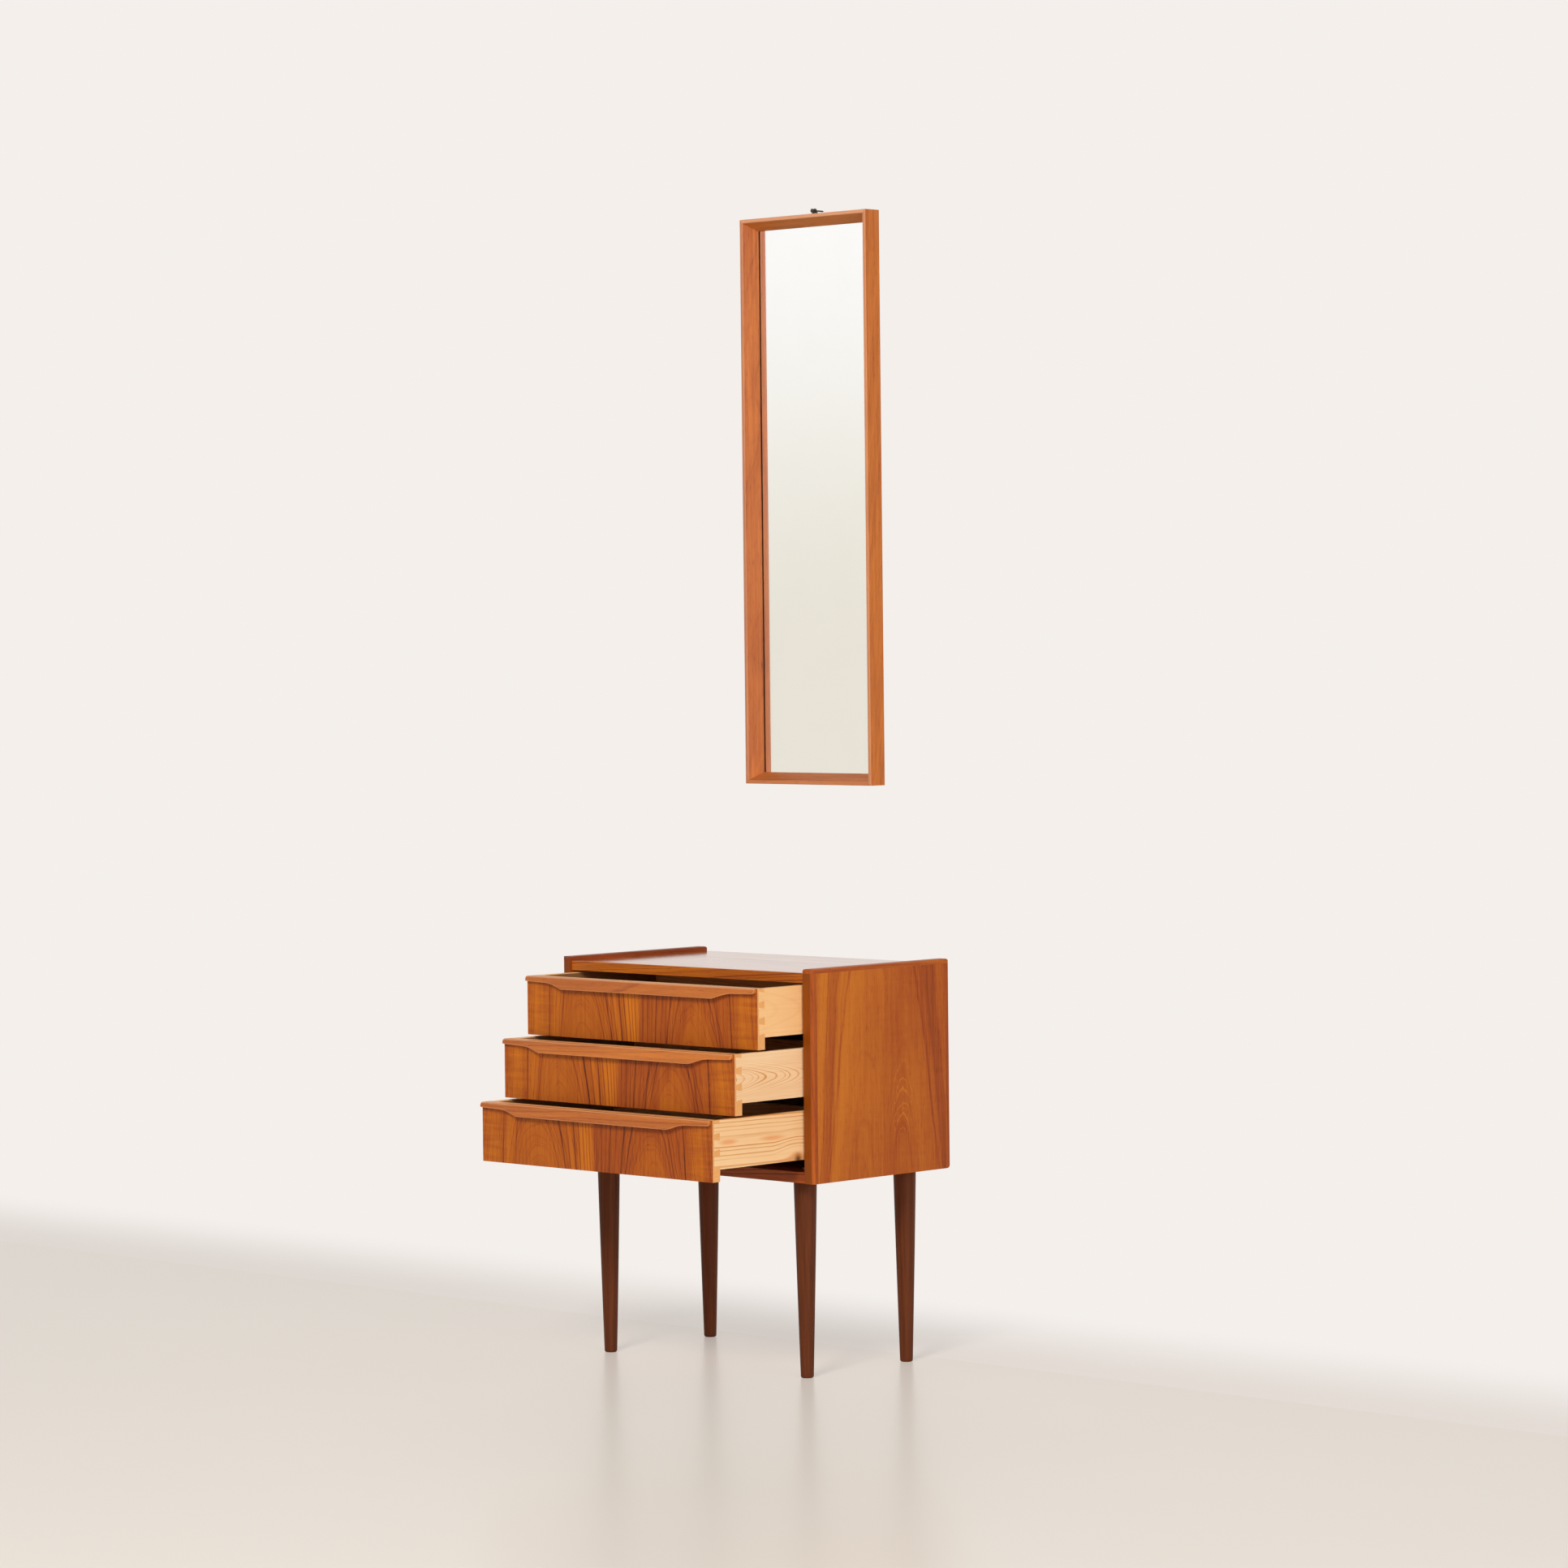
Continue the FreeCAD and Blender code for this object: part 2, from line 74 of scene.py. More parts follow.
# Values between which most of a noise lies, and the depth of the woods' relief
NOISE_SPAN = (0.3, 0.7)
RELIEF = 0.3 * MM

# Drawn streaks of the veneers: place across the board in millimetres, lean, half width and depth
FACING_STREAKS = [
    (-216, -0.1, 22, -0.12), (-177, -0.1, 12, -0.16), (-50, 0, 7, -0.18), (-18, 0.05, 22, -0.32),
    (118, 0, 24, -0.13), (216, 0.08, 24, -0.2),
    (-192, -0.11, 1.9, 0.44), (-163, -0.1, 2, 0.22), (-88, 0, 2, 0.24), (-68, 0, 2.4, 0.44),
    (-55, 0.02, 1.8, 0.3), (-41, 0.05, 2.2, 0.46), (-31, 0.03, 1.8, 0.4), (-22, 0.04, 1.7, 0.4),
    (-15.5, 0.05, 1.7, 0.36), (-9, 0.06, 1.7, 0.32), (7, -0.09, 2, 0.22), (17, -0.09, 2, 0.26),
    (26, -0.08, 1.8, 0.2), (35, -0.06, 2.4, 0.36), (47, -0.06, 2, 0.22), (62, -0.05, 2.4, 0.38),
    (76, 0, 2, 0.26), (111, 0, 1.8, 0.2), (150, 0, 2, 0.26), (158, 0.03, 2, 0.26),
    (187, 0.08, 2, 0.46),
]
# The first two side streaks are broad painted light: a lighter front part and a darker back part of the side
# panels
SIDE_STREAKS_AND_SHADE = [
    (-30, 0, 75, -0.07), (230, 0, 85, 0.09), (-48, 0, 10, -0.06), (-37, -0.01, 1.8, 0.18),
    (-26, -0.01, 14, 0.2), (-9.5, 0.05, 3, 0.16), (6, 0.05, 15, -0.05), (34, 0, 14, -0.05),
    (150, 0, 16, -0.06), (184, -0.05, 3, 0.15), (203, -0.02, 14, 0.11), (214, -0.02, 1.8, 0.1),
    (223, 0, 8, -0.06),
]
# Share of painted highlight on each step across a lip pull's rounded arris
ARRIS_HIGHLIGHT = [0.0, 0.4, 0.9, 1.0, 0.9, 0.4, 0.0]


def linear(hex_colour):
    """Linear colour with alpha from an sRGB hex value."""
    coded = np.array([int(hex_colour[i:i + 2], 16) for i in (1, 3, 5)]) / 255
    flat = np.where(coded <= 0.04045, coded / 12.92, ((coded + 0.055) / 1.055) ** 2.4)
    return (*flat.tolist(), 1.0)


def span(node, axis):
    """Lowest and highest coordinate of a solid along one axis, in metres."""
    low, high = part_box(node)
    return low[axis], high[axis]


def colour(label, says, hex_colour):
    """A colour setting with a picker."""
    return FloatVectorProperty(name=label, description=says, subtype="COLOR", size=4, min=0, max=1,
                               default=linear(hex_colour))


def length(label, says, millimetres):
    """A length setting, given in millimetres."""
    return FloatProperty(name=label, description=says, unit="LENGTH", precision=4, default=millimetres * MM)


def angle(label, says, degrees):
    """An angle setting, given in degrees."""
    return FloatProperty(name=label, description=says, subtype="ANGLE", default=math.radians(degrees))


def power(label, says, watts):
    """A lamp's power setting."""
    return FloatProperty(name=label, description=says, unit="POWER", default=watts)


class LipPullSizes(bpy.types.PropertyGroup):
    """Shape of the lip pulls along the drawers' upper edges."""

    end_height: length("End height", "Height of the lip at its ends", 7.3)
    neck_height: length("Neck height", "Height of the lip where its sweep starts", 8.5)
    top_reach: length("Top reach", "How far the lip's upper edge stands out", 4.0)
    foot_reach: length("Foot reach", "How far the lip's lower edge stands out", 10.75)
    sweep_start: length("Sweep start", "Distance of the sweep's start from the lip's end", 38.0)
    sweep_end: length("Sweep end", "Distance of the sweep's foot from the lip's end", 82.0)
    wall: length("Wall", "Thickness of the lip in front of the finger hollow", 4.0)
    hollow: length("Hollow", "Height of the finger hollow", 8.0)
    top_round: length("Top round", "Rounding of the upper arris", 2.0)
    foot_round: length("Foot round", "Rounding of the lower arris", 1.5)


class LegSizes(bpy.types.PropertyGroup):
    """Shape of the turned legs."""

    foot_diameter: length("Foot diameter", "Diameter of the leg at its foot", 19.0)
    swell: length("Swell", "How far the taper swells at its middle", 0.25)
    foot_round_width: length("Foot round width", "Width of the foot's rounding", 2.6)
    foot_round_height: length("Foot round height", "Height of the foot's rounding", 3.2)


class WoodColours(bpy.types.PropertyGroup):
    """Colours of the woods."""

    teak_light: colour("Teak light", "Early wood of the teak veneer", "#D9801C")
    teak_ruddy: colour("Teak ruddy", "Ruddy parts of the teak veneer", "#A64E1A")
    teak_dark: colour("Teak dark", "Dark lines of all the teak", "#4C1E06")
    teak_side: colour("Teak sides", "Early wood of the side panels and their lippings", "#D48027")
    # Painted shade for the front faces of the upright lippings
    lipping_front_shade: colour("Lipping", "Dark front faces of the upright lippings", "#7E4004")
    teak_solid: colour("Lip teak", "Ground of the lip pulls", "#D47D30")
    teak_solid_ruddy: colour("Lip teak ruddy", "Ruddy parts of the lip pulls", "#A0501C")
    teak_mirror: colour("Mirror teak", "Ground of the mirror frame", "#D5803C")
    teak_mirror_ruddy: colour("Mirror teak ruddy", "Ruddy parts of the mirror frame", "#AC5E30")
    pine_light: colour("Pine light", "Early wood of the pine", "#FFD6A0")
    pine_dark: colour("Pine dark", "Late wood lines of the pine", "#DB8F46")
    leg_ground: colour("Leg ground", "Dark stained wood of the legs", "#713A1D")
    leg_streak: colour("Leg streak", "Darker streaks in the legs", "#432317")
    plywood_face: colour("Plywood", "Face of the drawer bottoms", "#96683F")


class StageSettings(bpy.types.PropertyGroup):
    """Camera, light and floor."""

    azimuth: angle("Azimuth", "Camera's turn to the right of the drawer fronts", 44.09)
    pitch: angle("Pitch", "Camera's tilt downwards", 1.76)
    roll: angle("Roll", "Camera's roll", -0.63)
    lens: FloatProperty(name="Lens", description="Focal length on a 36 mm sensor", unit="CAMERA",
                        default=115.906)
    place: FloatVectorProperty(name="Place", description="Camera's place", subtype="TRANSLATION", size=3,
                               default=(5.2861, -5.30185, 1.09092))
    floor: colour("Floor", "Floor in front of its paler back", "#F0ECE1")
    backdrop: colour("Backdrop", "Pale ground behind the chest", "#F4EFEB")
    mirrored: colour("Mirrored ground", "Pale ground that mirrors and glass show", "#EBE7DC")
    sky: FloatProperty(name="Ambient", description="Strength of the light from all round", default=0.2)
    key: power("Key", "Power of the main lamp", 284.0)
    fill: power("Fill", "Power of the second lamp", 252.0)
    back: power("Back", "Power of the lamp behind", 46.0)


def wire(node, inputs):
    """Sets a node's inputs, all from the first or some by name or number, each to a value or an output."""
    for key, value in inputs.items() if isinstance(inputs, dict) else enumerate(inputs):
        if isinstance(value, bpy.types.NodeSocket):
            node.id_data.links.new(value, node.inputs[key])
        else:
            node.inputs[key].default_value = value


def add_node(tree, kind, inputs=(), out=0, **settings):
    """Adds a node with its settings and inputs. Gives one output, by name or number, or all for None."""
    made = tree.nodes.new("ShaderNode" + kind)
    for name, value in settings.items():
        setattr(made, name, value)
    wire(made, inputs)
    return made.outputs if out is None else made.outputs[out]


def start_material(name, roughness, **sockets):
    """A new material, the adder of its nodes, and its shader with plain values on its own sockets."""
    made = bpy.data.materials.new(name)
    made.use_nodes = True
    shader = made.node_tree.nodes["Principled BSDF"]
    plain = {key.replace("_", " "): value for key, value in sockets.items()}
    wire(shader, {"Roughness": roughness, **plain})
    return made, partial(add_node, made.node_tree), shader


def drawn_out(add, board, wide, long, detail, out=0, **inputs):
    """A noise whose cells are so wide across the grain and so long along it, in millimetres."""
    scale = (1 / (wide * MM), 1 / (wide * MM), 1 / (long * MM))
    drawn = add("Mapping", {"Vector": board, "Scale": scale})
    return add("TexNoise", {"Vector": drawn, "Scale": 1.0, "Detail": detail, **inputs}, out)


def from_oval(add, flat, place, half):
    """How far a point lies from an oval's middle, with 1 on its rim: the length of its offsets over the
    oval's half sizes, which are in millimetres."""
    shares = add("Mapping", {"Vector": flat, "Location": (-place[0] / half[0], -place[1] / half[1], 0),
                             "Scale": (1 / (half[0] * MM), 1 / (half[1] * MM), 1)})
    return add("VectorMath", [shares], operation="LENGTH", out="Value")


def growth(add, turn, pith, taper, wander, fold=None, middle=0.0):
    """Where a point lies in the tree that the board was cut from. Lengths are in millimetres.

    The object's coordinates are turned to run across the grain, into the board and along it, and a noise
    lets the grain wander. The growth distance is that from the pith's line, which lies at pith across and
    into the board, plus the taper times the height above the middle, so that equal distances draw flames.
    The crossing is where the growth line through a point meets the middle height: the pith's place plus or
    minus the root of the distance squared less the depth squared. A board with a fold is two leaves of
    veneer, opened there like a book."""
    place = add("TexCoord", out="Object")
    board = add("Mapping", {"Vector": place, "Rotation": turn})
    drift = drawn_out(add, board, 1000 / 9, 500 / 3, 3.0, out="Color")
    cloud = add("SeparateColor", [drift], out="Blue")
    sway = wander * MM
    offset = add("VectorMath", [drift, (2 * sway, 2 * sway, 0), (-sway, -sway, 0)], operation="MULTIPLY_ADD")
    moved = add("VectorMath", [board, offset], operation="ADD")
    across, into, along = add("SeparateXYZ", [moved], out=None)
    height = add("Math", [along, middle * MM], operation="SUBTRACT")
    leaf = across
    if fold is not None:
        leaf = add("Math", [across, fold * MM], operation="SUBTRACT")
        side = add("Math", [leaf], operation="SIGN")
        leaf = add("Math", [leaf], operation="ABSOLUTE")
    aside = add("Math", [leaf, pith[0] * MM], operation="SUBTRACT")
    deep = add("Math", [into, pith[1] * MM], operation="SUBTRACT")
    flat = add("CombineXYZ", [aside, deep])
    radius = add("VectorMath", [flat], operation="LENGTH", out="Value")
    distance = add("Math", [height, taper, radius], operation="MULTIPLY_ADD")
    deeper = add("Math", [deep, deep], operation="MULTIPLY")
    square = add("Math", [distance, distance], operation="MULTIPLY")
    square = add("Math", [square, deeper], operation="SUBTRACT", use_clamp=True)
    reach = add("Math", [square], operation="SQRT")
    flank = add("Math", [aside], operation="SIGN")
    crossing = add("Math", [flank, reach, pith[0] * MM], operation="MULTIPLY_ADD")
    if fold is not None:
        crossing = add("Math", [side, crossing, fold * MM], operation="MULTIPLY_ADD")
    return SimpleNamespace(place=place, board=board, across=across, along=along, height=height, aside=aside,
                           distance=distance, crossing=crossing, cloud=cloud)


def streaked(add, grain, streaks):
    """The sum of drawn streaks.

    Each streak is a growth line at a place across the grain, in millimetres at the board's middle height,
    with a lean added per unit of height, a half width and a depth; a negative depth lightens. It fades out
    smoothly from a quarter of its half width."""
    total = None
    for place, lean, half, depth in streaks:
        apart = add("Math", [grain.height, -lean, grain.crossing], operation="MULTIPLY_ADD")
        away = add("Math", [apart, place * MM], operation="SUBTRACT")
        away = add("Math", [away], operation="ABSOLUTE")
        mark = add("MapRange", [away, half / 4 * MM, half * MM, depth, 0.0], **SMOOTH)
        total = mark if total is None else add("Math", [total, mark], operation="ADD")
    return total


def teak(name, turn, colours, pith, taper, tone, spacing=4.7, wander=3.0, fold=None, middle=0.0, rings=0.2,
         bands=0.4, fibres=0.5, clouds=0.3, pores=0.15, figure=None, streaks=(), leaves=0.0, flame=None,
         rim=None, wear_and_highlight=0.0, roughness=0.42, gloss=0.22, lacquer=0.0):
    """Teak, sliced or sawn, sanded and oiled: orange, ruddy and dark brown growth bands with thin late wood
    lines, fibres and open pores, and a soft sheen. Lengths are in millimetres.

    A level takes the colour from light through ruddy to dark. Uneven noise along the growth distance gives
    it broad bands and thin lines, and noise drawn out along the grain gives fibres and pores. These are
    4 mm and 1.4 mm wide, coarser than real ones, because finer ones would not show. The fibres also break
    up the streaks. Leaves sets the right leaf of a folded board darker than the left. A figure is a ripple
    across the grain, of an amount that grows between two distances from the chest's middle. A flame
    lightens thin arcs within an oval, given by its place across the grain and above the middle height and
    its half sizes, by a depth. A rim turns the wood to a tint, by a share, at its front plane, and fades out
    within its reach behind that plane: painted shade on the lippings' fronts and a painted highlight on the
    mirror rails' rims. The arrises that the piece's own attribute marks get a painted highlight, by the
    given weight. Lacquer is the weight of a clear coat over the oil."""
    made, add, shader = start_material(name, roughness, IOR=1.5, Specular_IOR_Level=gloss,
                                       Coat_Weight=lacquer, Coat_Roughness=0.1)
    grain = growth(add, turn, pith, taper, wander, fold, middle)
    band, line, arc = [share * spacing * MM for share in (4.5, 0.8, 0.08)]
    broad = add("TexNoise", {"W": grain.distance, "Scale": 1 / band, "Detail": 1.5}, noise_dimensions="1D")
    fine = add("TexNoise", {"W": grain.distance, "Scale": 1 / line, "Detail": 2.0}, noise_dimensions="1D")
    late = add("MapRange", [fine, 0.5, 0.75, 0.0, rings], **SMOOTH)
    fibre = drawn_out(add, grain.board, 4, 500 / 3, 3.0, Roughness=0.65)
    pore = drawn_out(add, grain.board, 10 / 7, 100 / 7, 1.0)
    pits = add("MapRange", [pore, 0.58, 0.75, 0.0, pores])
    parts = [(broad, bands), (fibre, fibres), (grain.cloud, clouds)]
    if figure:
        amount, start, full = figure
        ripple = drawn_out(add, grain.board, 62.5, 100 / 17, 2.0)
        outwards = add("Math", [grain.across], operation="ABSOLUTE")
        grown = add("MapRange", [outwards, start * MM, full * MM])
        centred = add("Math", [ripple, 0.5], operation="SUBTRACT")
        ripple = add("Math", [centred, grown, 0.5], operation="MULTIPLY_ADD")
        parts.append((ripple, amount))
    level = add("Math", [late, pits], operation="ADD")
    for part, amount in parts:
        level = add("Math", [part, amount, level], operation="MULTIPLY_ADD")
    centre = tone - sum(amount for part, amount in parts) / 2
    level = add("Math", [level, centre], operation="ADD")
    if leaves:
        seam = 0.5
        right = add("MapRange", [grain.across, (fold - seam) * MM, (fold + seam) * MM,
                                 -leaves / 2, leaves / 2])
        level = add("Math", [level, right], operation="ADD")
    if flame:
        *oval, depth = flame
        spot = add("CombineXYZ", [grain.across, grain.height])
        near = add("MapRange", [from_oval(add, spot, *oval), 0.4, 1.0, depth, 0.0], **SMOOTH)
        ragged = add("Math", [fibre, 1.4 * MM, grain.distance], operation="MULTIPLY_ADD")
        arcs = add("TexNoise", {"W": ragged, "Scale": 1 / arc, "Detail": 0.0}, noise_dimensions="1D")
        pale = add("MapRange", [arcs, 0.6, 0.68], **SMOOTH)
        pale = add("Math", [pale, near], operation="MULTIPLY")
        level = add("Math", [level, pale], operation="SUBTRACT")
    if streaks:
        broken = add("MapRange", [fibre, *NOISE_SPAN, 0.75, 1.25])
        marks = streaked(add, grain, streaks)
        level = add("Math", [marks, broken, level], operation="MULTIPLY_ADD")
    light, ruddy, dark = colours
    first = add("MapRange", [level, 0.0, 0.5])
    second = add("MapRange", [level, 0.5, 1.0])
    ground = add("Mix", {0: first, 6: light, 7: ruddy}, **COLOURS)
    paint = add("Mix", {0: second, 6: ground, 7: dark}, **COLOURS)
    # Painted light at the front plane: shade on the lippings' fronts, highlights on the mirror rails' rims
    if rim:
        plane, reach, share, tint = rim
        forward = add("SeparateXYZ", [grain.place], out=1)
        edge = add("MapRange", [forward, (plane + reach / 2) * MM, (plane + reach) * MM, share, 0.0])
        paint = add("Mix", {0: edge, 6: paint, 7: tint}, **COLOURS)
    # Painted highlight: the marked arrises turn pale, like light caught on them
    if wear_and_highlight:
        arris = add("Attribute", attribute_name="arris", out="Fac")
        bare = add("Math", [arris, wear_and_highlight], operation="MULTIPLY")
        paint = add("Mix", {0: bare, 6: paint, 7: linear("#F2B27C")}, **COLOURS)
    sheen = add("MapRange", [fibre, *NOISE_SPAN, roughness - 0.05, roughness + 0.07])
    bump = add("Bump", {"Strength": 0.12, "Distance": RELIEF, "Height": fibre}, invert=True)
    wire(shader, {"Base Color": paint, "Roughness": sheen, "Normal": bump})
    return made


def pine(name, turn, light, dark, pith, taper, spacing, lines, wander=0.8, tone=0.1, fade=None, knot=None,
         stains=(), shaded_inside=None, roughness=0.5):
    """Pine, planed and left bare: pale yellow early wood that darkens slowly to thin late wood lines. With
    other colours it is plywood or hardboard. Lengths are in millimetres.

    The share of the ring that has grown is the fraction of the growth distance over the ring spacing, made
    uneven by a noise. The late wood darkens from its start to its end, then stops short. The lines fade to
    a fifth between two distances from the pith. A knot at a place across and along the grain is a dark
    spot, from which the rings draw aside. Stains are ruddy ovals, each with its place and half sizes.
    The inside distance is that from the chest's middle plane of the inner faces, which get painted shade."""
    late_start, late_end = 0.6, 0.93
    knot_reach, knot_push, knot_heart, knot_edge = 60 * MM, 12 * MM, 2 * MM, 10 * MM
    made, add, shader = start_material(name, roughness, IOR=1.5, Specular_IOR_Level=0.2)
    grain = growth(add, turn, pith, taper, wander)
    distance = grain.distance
    flat = add("CombineXYZ", [grain.across, grain.along])
    if knot:
        centre = (knot[0] * MM, knot[1] * MM, 0)
        away = add("VectorMath", [flat, centre], operation="DISTANCE", out="Value")
        bulge = add("MapRange", [away, 0.0, knot_reach, knot_push, 0.0], **SMOOTH)
        beside = add("MapRange", [grain.across, centre[0] - knot_push, centre[0] + knot_push, -1.0, 1.0])
        aside = add("Math", [bulge, beside], operation="MULTIPLY")
        distance = add("Math", [distance, aside], operation="SUBTRACT")
    count = add("Math", [distance, 1 / (spacing * MM)], operation="MULTIPLY")
    uneven = add("TexNoise", {"W": count, "Scale": 0.37, "Detail": 1.0}, noise_dimensions="1D")
    count = add("Math", [uneven, 1.6, count], operation="MULTIPLY_ADD")
    grown = add("Math", [count], operation="FRACT")
    late = add("MapRange", [grown, late_start, late_end, 0.0, lines], **SMOOTH)
    ending = add("MapRange", [grown, late_end, 1.0, 1.0, 0.0])
    late = add("Math", [late, ending], operation="MULTIPLY")
    strong = add("MapRange", [uneven, 0.35, 0.65, 0.4, 1.1])
    late = add("Math", [late, strong], operation="MULTIPLY")
    if fade:
        off = add("Math", [grain.aside], operation="ABSOLUTE")
        left = add("MapRange", [off, fade[0] * MM, fade[1] * MM, 1.0, 0.2])
        late = add("Math", [late, left], operation="MULTIPLY")
    fibre = drawn_out(add, grain.board, 10 / 3, 125, 3.0)
    level = add("Math", [fibre, 0.4, late], operation="MULTIPLY_ADD")
    level = add("Math", [grain.cloud, 0.6, level], operation="MULTIPLY_ADD")
    level = add("Math", [level, tone - 0.5], operation="ADD", use_clamp=True)
    paint = add("Mix", {0: level, 6: light, 7: dark}, **COLOURS)
    for place, half in stains:
        share = add("MapRange", [from_oval(add, flat, place, half), 0.3, 1.0, 0.75, 0.0])
        paint = add("Mix", {0: share, 6: paint, 7: linear("#F0A064")}, **COLOURS)
    if knot:
        heart = add("MapRange", [away, knot_heart, knot_edge, 0.9, 0.0])
        paint = add("Mix", {0: heart, 6: paint, 7: linear("#5A2E14")}, **COLOURS)
    # Painted shade: the inner faces darken to a dull brown, as the shade inside the case
    if shaded_inside:
        sideways = add("SeparateXYZ", [grain.place])
        sideways = add("Math", [sideways], operation="ABSOLUTE")
        painted_shade = add("MapRange", [sideways, (shaded_inside + 0.2) * MM, (shaded_inside + 0.6) * MM, 0.85, 0.0])
        paint = add("Mix", {0: painted_shade, 6: paint, 7: linear("#6E4420")}, **COLOURS)
    bump = add("Bump", {"Strength": 0.15, "Distance": RELIEF, "Height": late})
    wire(shader, {"Base Color": paint, "Normal": bump})
    return made


def stained_wood(name, turn, ground, streak, roughness=0.42):
    """Hardwood, turned, stained dark and lacquered: a chocolate ground with long fine streaks, drawn 2.4 mm
    wide, and rings 3.85 mm apart."""
    made, add, shader = start_material(name, roughness, IOR=1.5, Specular_IOR_Level=0.12)
    grain = growth(add, turn, (0.0, 0.0), 0.03, 2.0)
    fibre = drawn_out(add, grain.board, 50 / 21, 1000 / 9, 3.0)
    rings = add("TexNoise", {"W": grain.distance, "Scale": 1 / (50 / 13 * MM), "Detail": 2.0},
                noise_dimensions="1D")
    level = add("Math", [fibre, 1.3, rings], operation="MULTIPLY_ADD")
    level = add("MapRange", [level, 0.6, 1.85])
    paint = add("Mix", {0: level, 6: ground, 7: streak}, **COLOURS)
    sheen = add("MapRange", [fibre, *NOISE_SPAN, roughness - 0.05, roughness + 0.08])
    bump = add("Bump", {"Strength": 0.12, "Distance": RELIEF, "Height": fibre}, invert=True)
    wire(shader, {"Base Color": paint, "Roughness": sheen, "Normal": bump})
    return made


def metal(name, bright, dull, roughness, patch):
    """Metal, drawn or rolled and handled: a plain ground with cloudy dull patches of the size given in
    millimetres, which also dull its shine."""
    made, add, shader = start_material(name, roughness, Metallic=1.0)
    place = add("TexCoord", out="Object")
    cloud = add("TexNoise", {"Vector": place, "Scale": 1 / (patch * MM), "Detail": 4.0})
    wear_and_highlight = add("MapRange", [cloud, 0.35, 0.65])
    paint = add("Mix", {0: wear_and_highlight, 6: bright, 7: dull}, **COLOURS)
    shine = add("MapRange", [cloud, *NOISE_SPAN, roughness - 0.06, roughness + 0.1])
    wire(shader, {"Base Color": paint, "Roughness": shine})
    return made


def dress(material, *nodes):
    """Puts a material into every slot of the named solids."""
    for name in nodes:
        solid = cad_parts[name]
        if not solid.material_slots:
            solid.data.materials.append(material)
        for slot in solid.material_slots:
            slot.material = material


def grid_faces(rows, columns):
    """Quads between rows of points that are closed round: each joins a point, its neighbour and the two
    of the next row."""
    row, column = np.meshgrid(np.arange(rows - 1), np.arange(columns), indexing="ij")
    beside = (column + 1) % columns
    return np.stack([row * columns + column, row * columns + beside,
                     (row + 1) * columns + beside, (row + 1) * columns + column], -1).reshape(-1, 4)


def closed_piece(name, loops, body, nodes, materials, smooth_angle=40.0):
    """A closed piece from loops of points, an array of loop, point and coordinate.

    Neighbouring loops are joined by quads, and the first and last are closed by fans to their means. The
    volume, a sum of triple products, tells whether the faces point outwards; if not they are turned."""
    rows, columns = loops.shape[:2]
    ends = loops[[0, -1]].mean(1)
    points = np.concatenate([loops.reshape(-1, 3), ends])
    quads = grid_faces(rows, columns)
    here = np.arange(columns)
    beside = (here + 1) % columns
    first = np.stack([beside, here, np.full(columns, rows * columns)], -1)
    last = np.stack([here, beside, np.full(columns, rows * columns + 1)], -1)
    last[:, :2] += (rows - 1) * columns
    fans = np.concatenate([first, last])
    triangles = np.concatenate([quads[:, [0, 1, 2]], quads[:, [0, 2, 3]], fans])
    corners = points[triangles] - points.mean(0)
    if np.einsum("ij,ij->i", corners[:, 0], np.cross(corners[:, 1], corners[:, 2])).sum() < 0:
        quads, fans = quads[:, ::-1], fans[:, ::-1]
    mesh = bpy.data.meshes.new(name)
    mesh.from_pydata(points.tolist(), [], quads.tolist() + fans.tolist())
    mesh.validate()
    for material in materials:
        mesh.materials.append(material)
    mesh.shade_smooth()
    mesh.set_sharp_from_angle(angle=math.radians(smooth_angle))
    piece = bpy.data.objects.new(name, mesh)
    bpy.context.scene.collection.objects.link(piece)
    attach(piece, body)
    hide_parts(*nodes)
    return piece


def curve_through(poles, count):
    """Points of a Bezier curve: the poles weighted by the Bernstein polynomials of their degree."""
    poles = np.asarray(poles, float)
    degree = len(poles) - 1
    t = np.linspace(0, 1, count)[:, None]
    k = np.arange(degree + 1)
    weights = np.array([math.comb(degree, i) for i in k]) * t ** k * (1 - t) ** (degree - k)
    return weights @ poles


def end_fall(radius, away):
    """How far a quarter circle has fallen at a distance from its end: the radius less the root of the
    radius squared less the square of the rest of the way."""
    return radius - np.sqrt(radius ** 2 - np.clip(radius - away, 0, radius) ** 2)


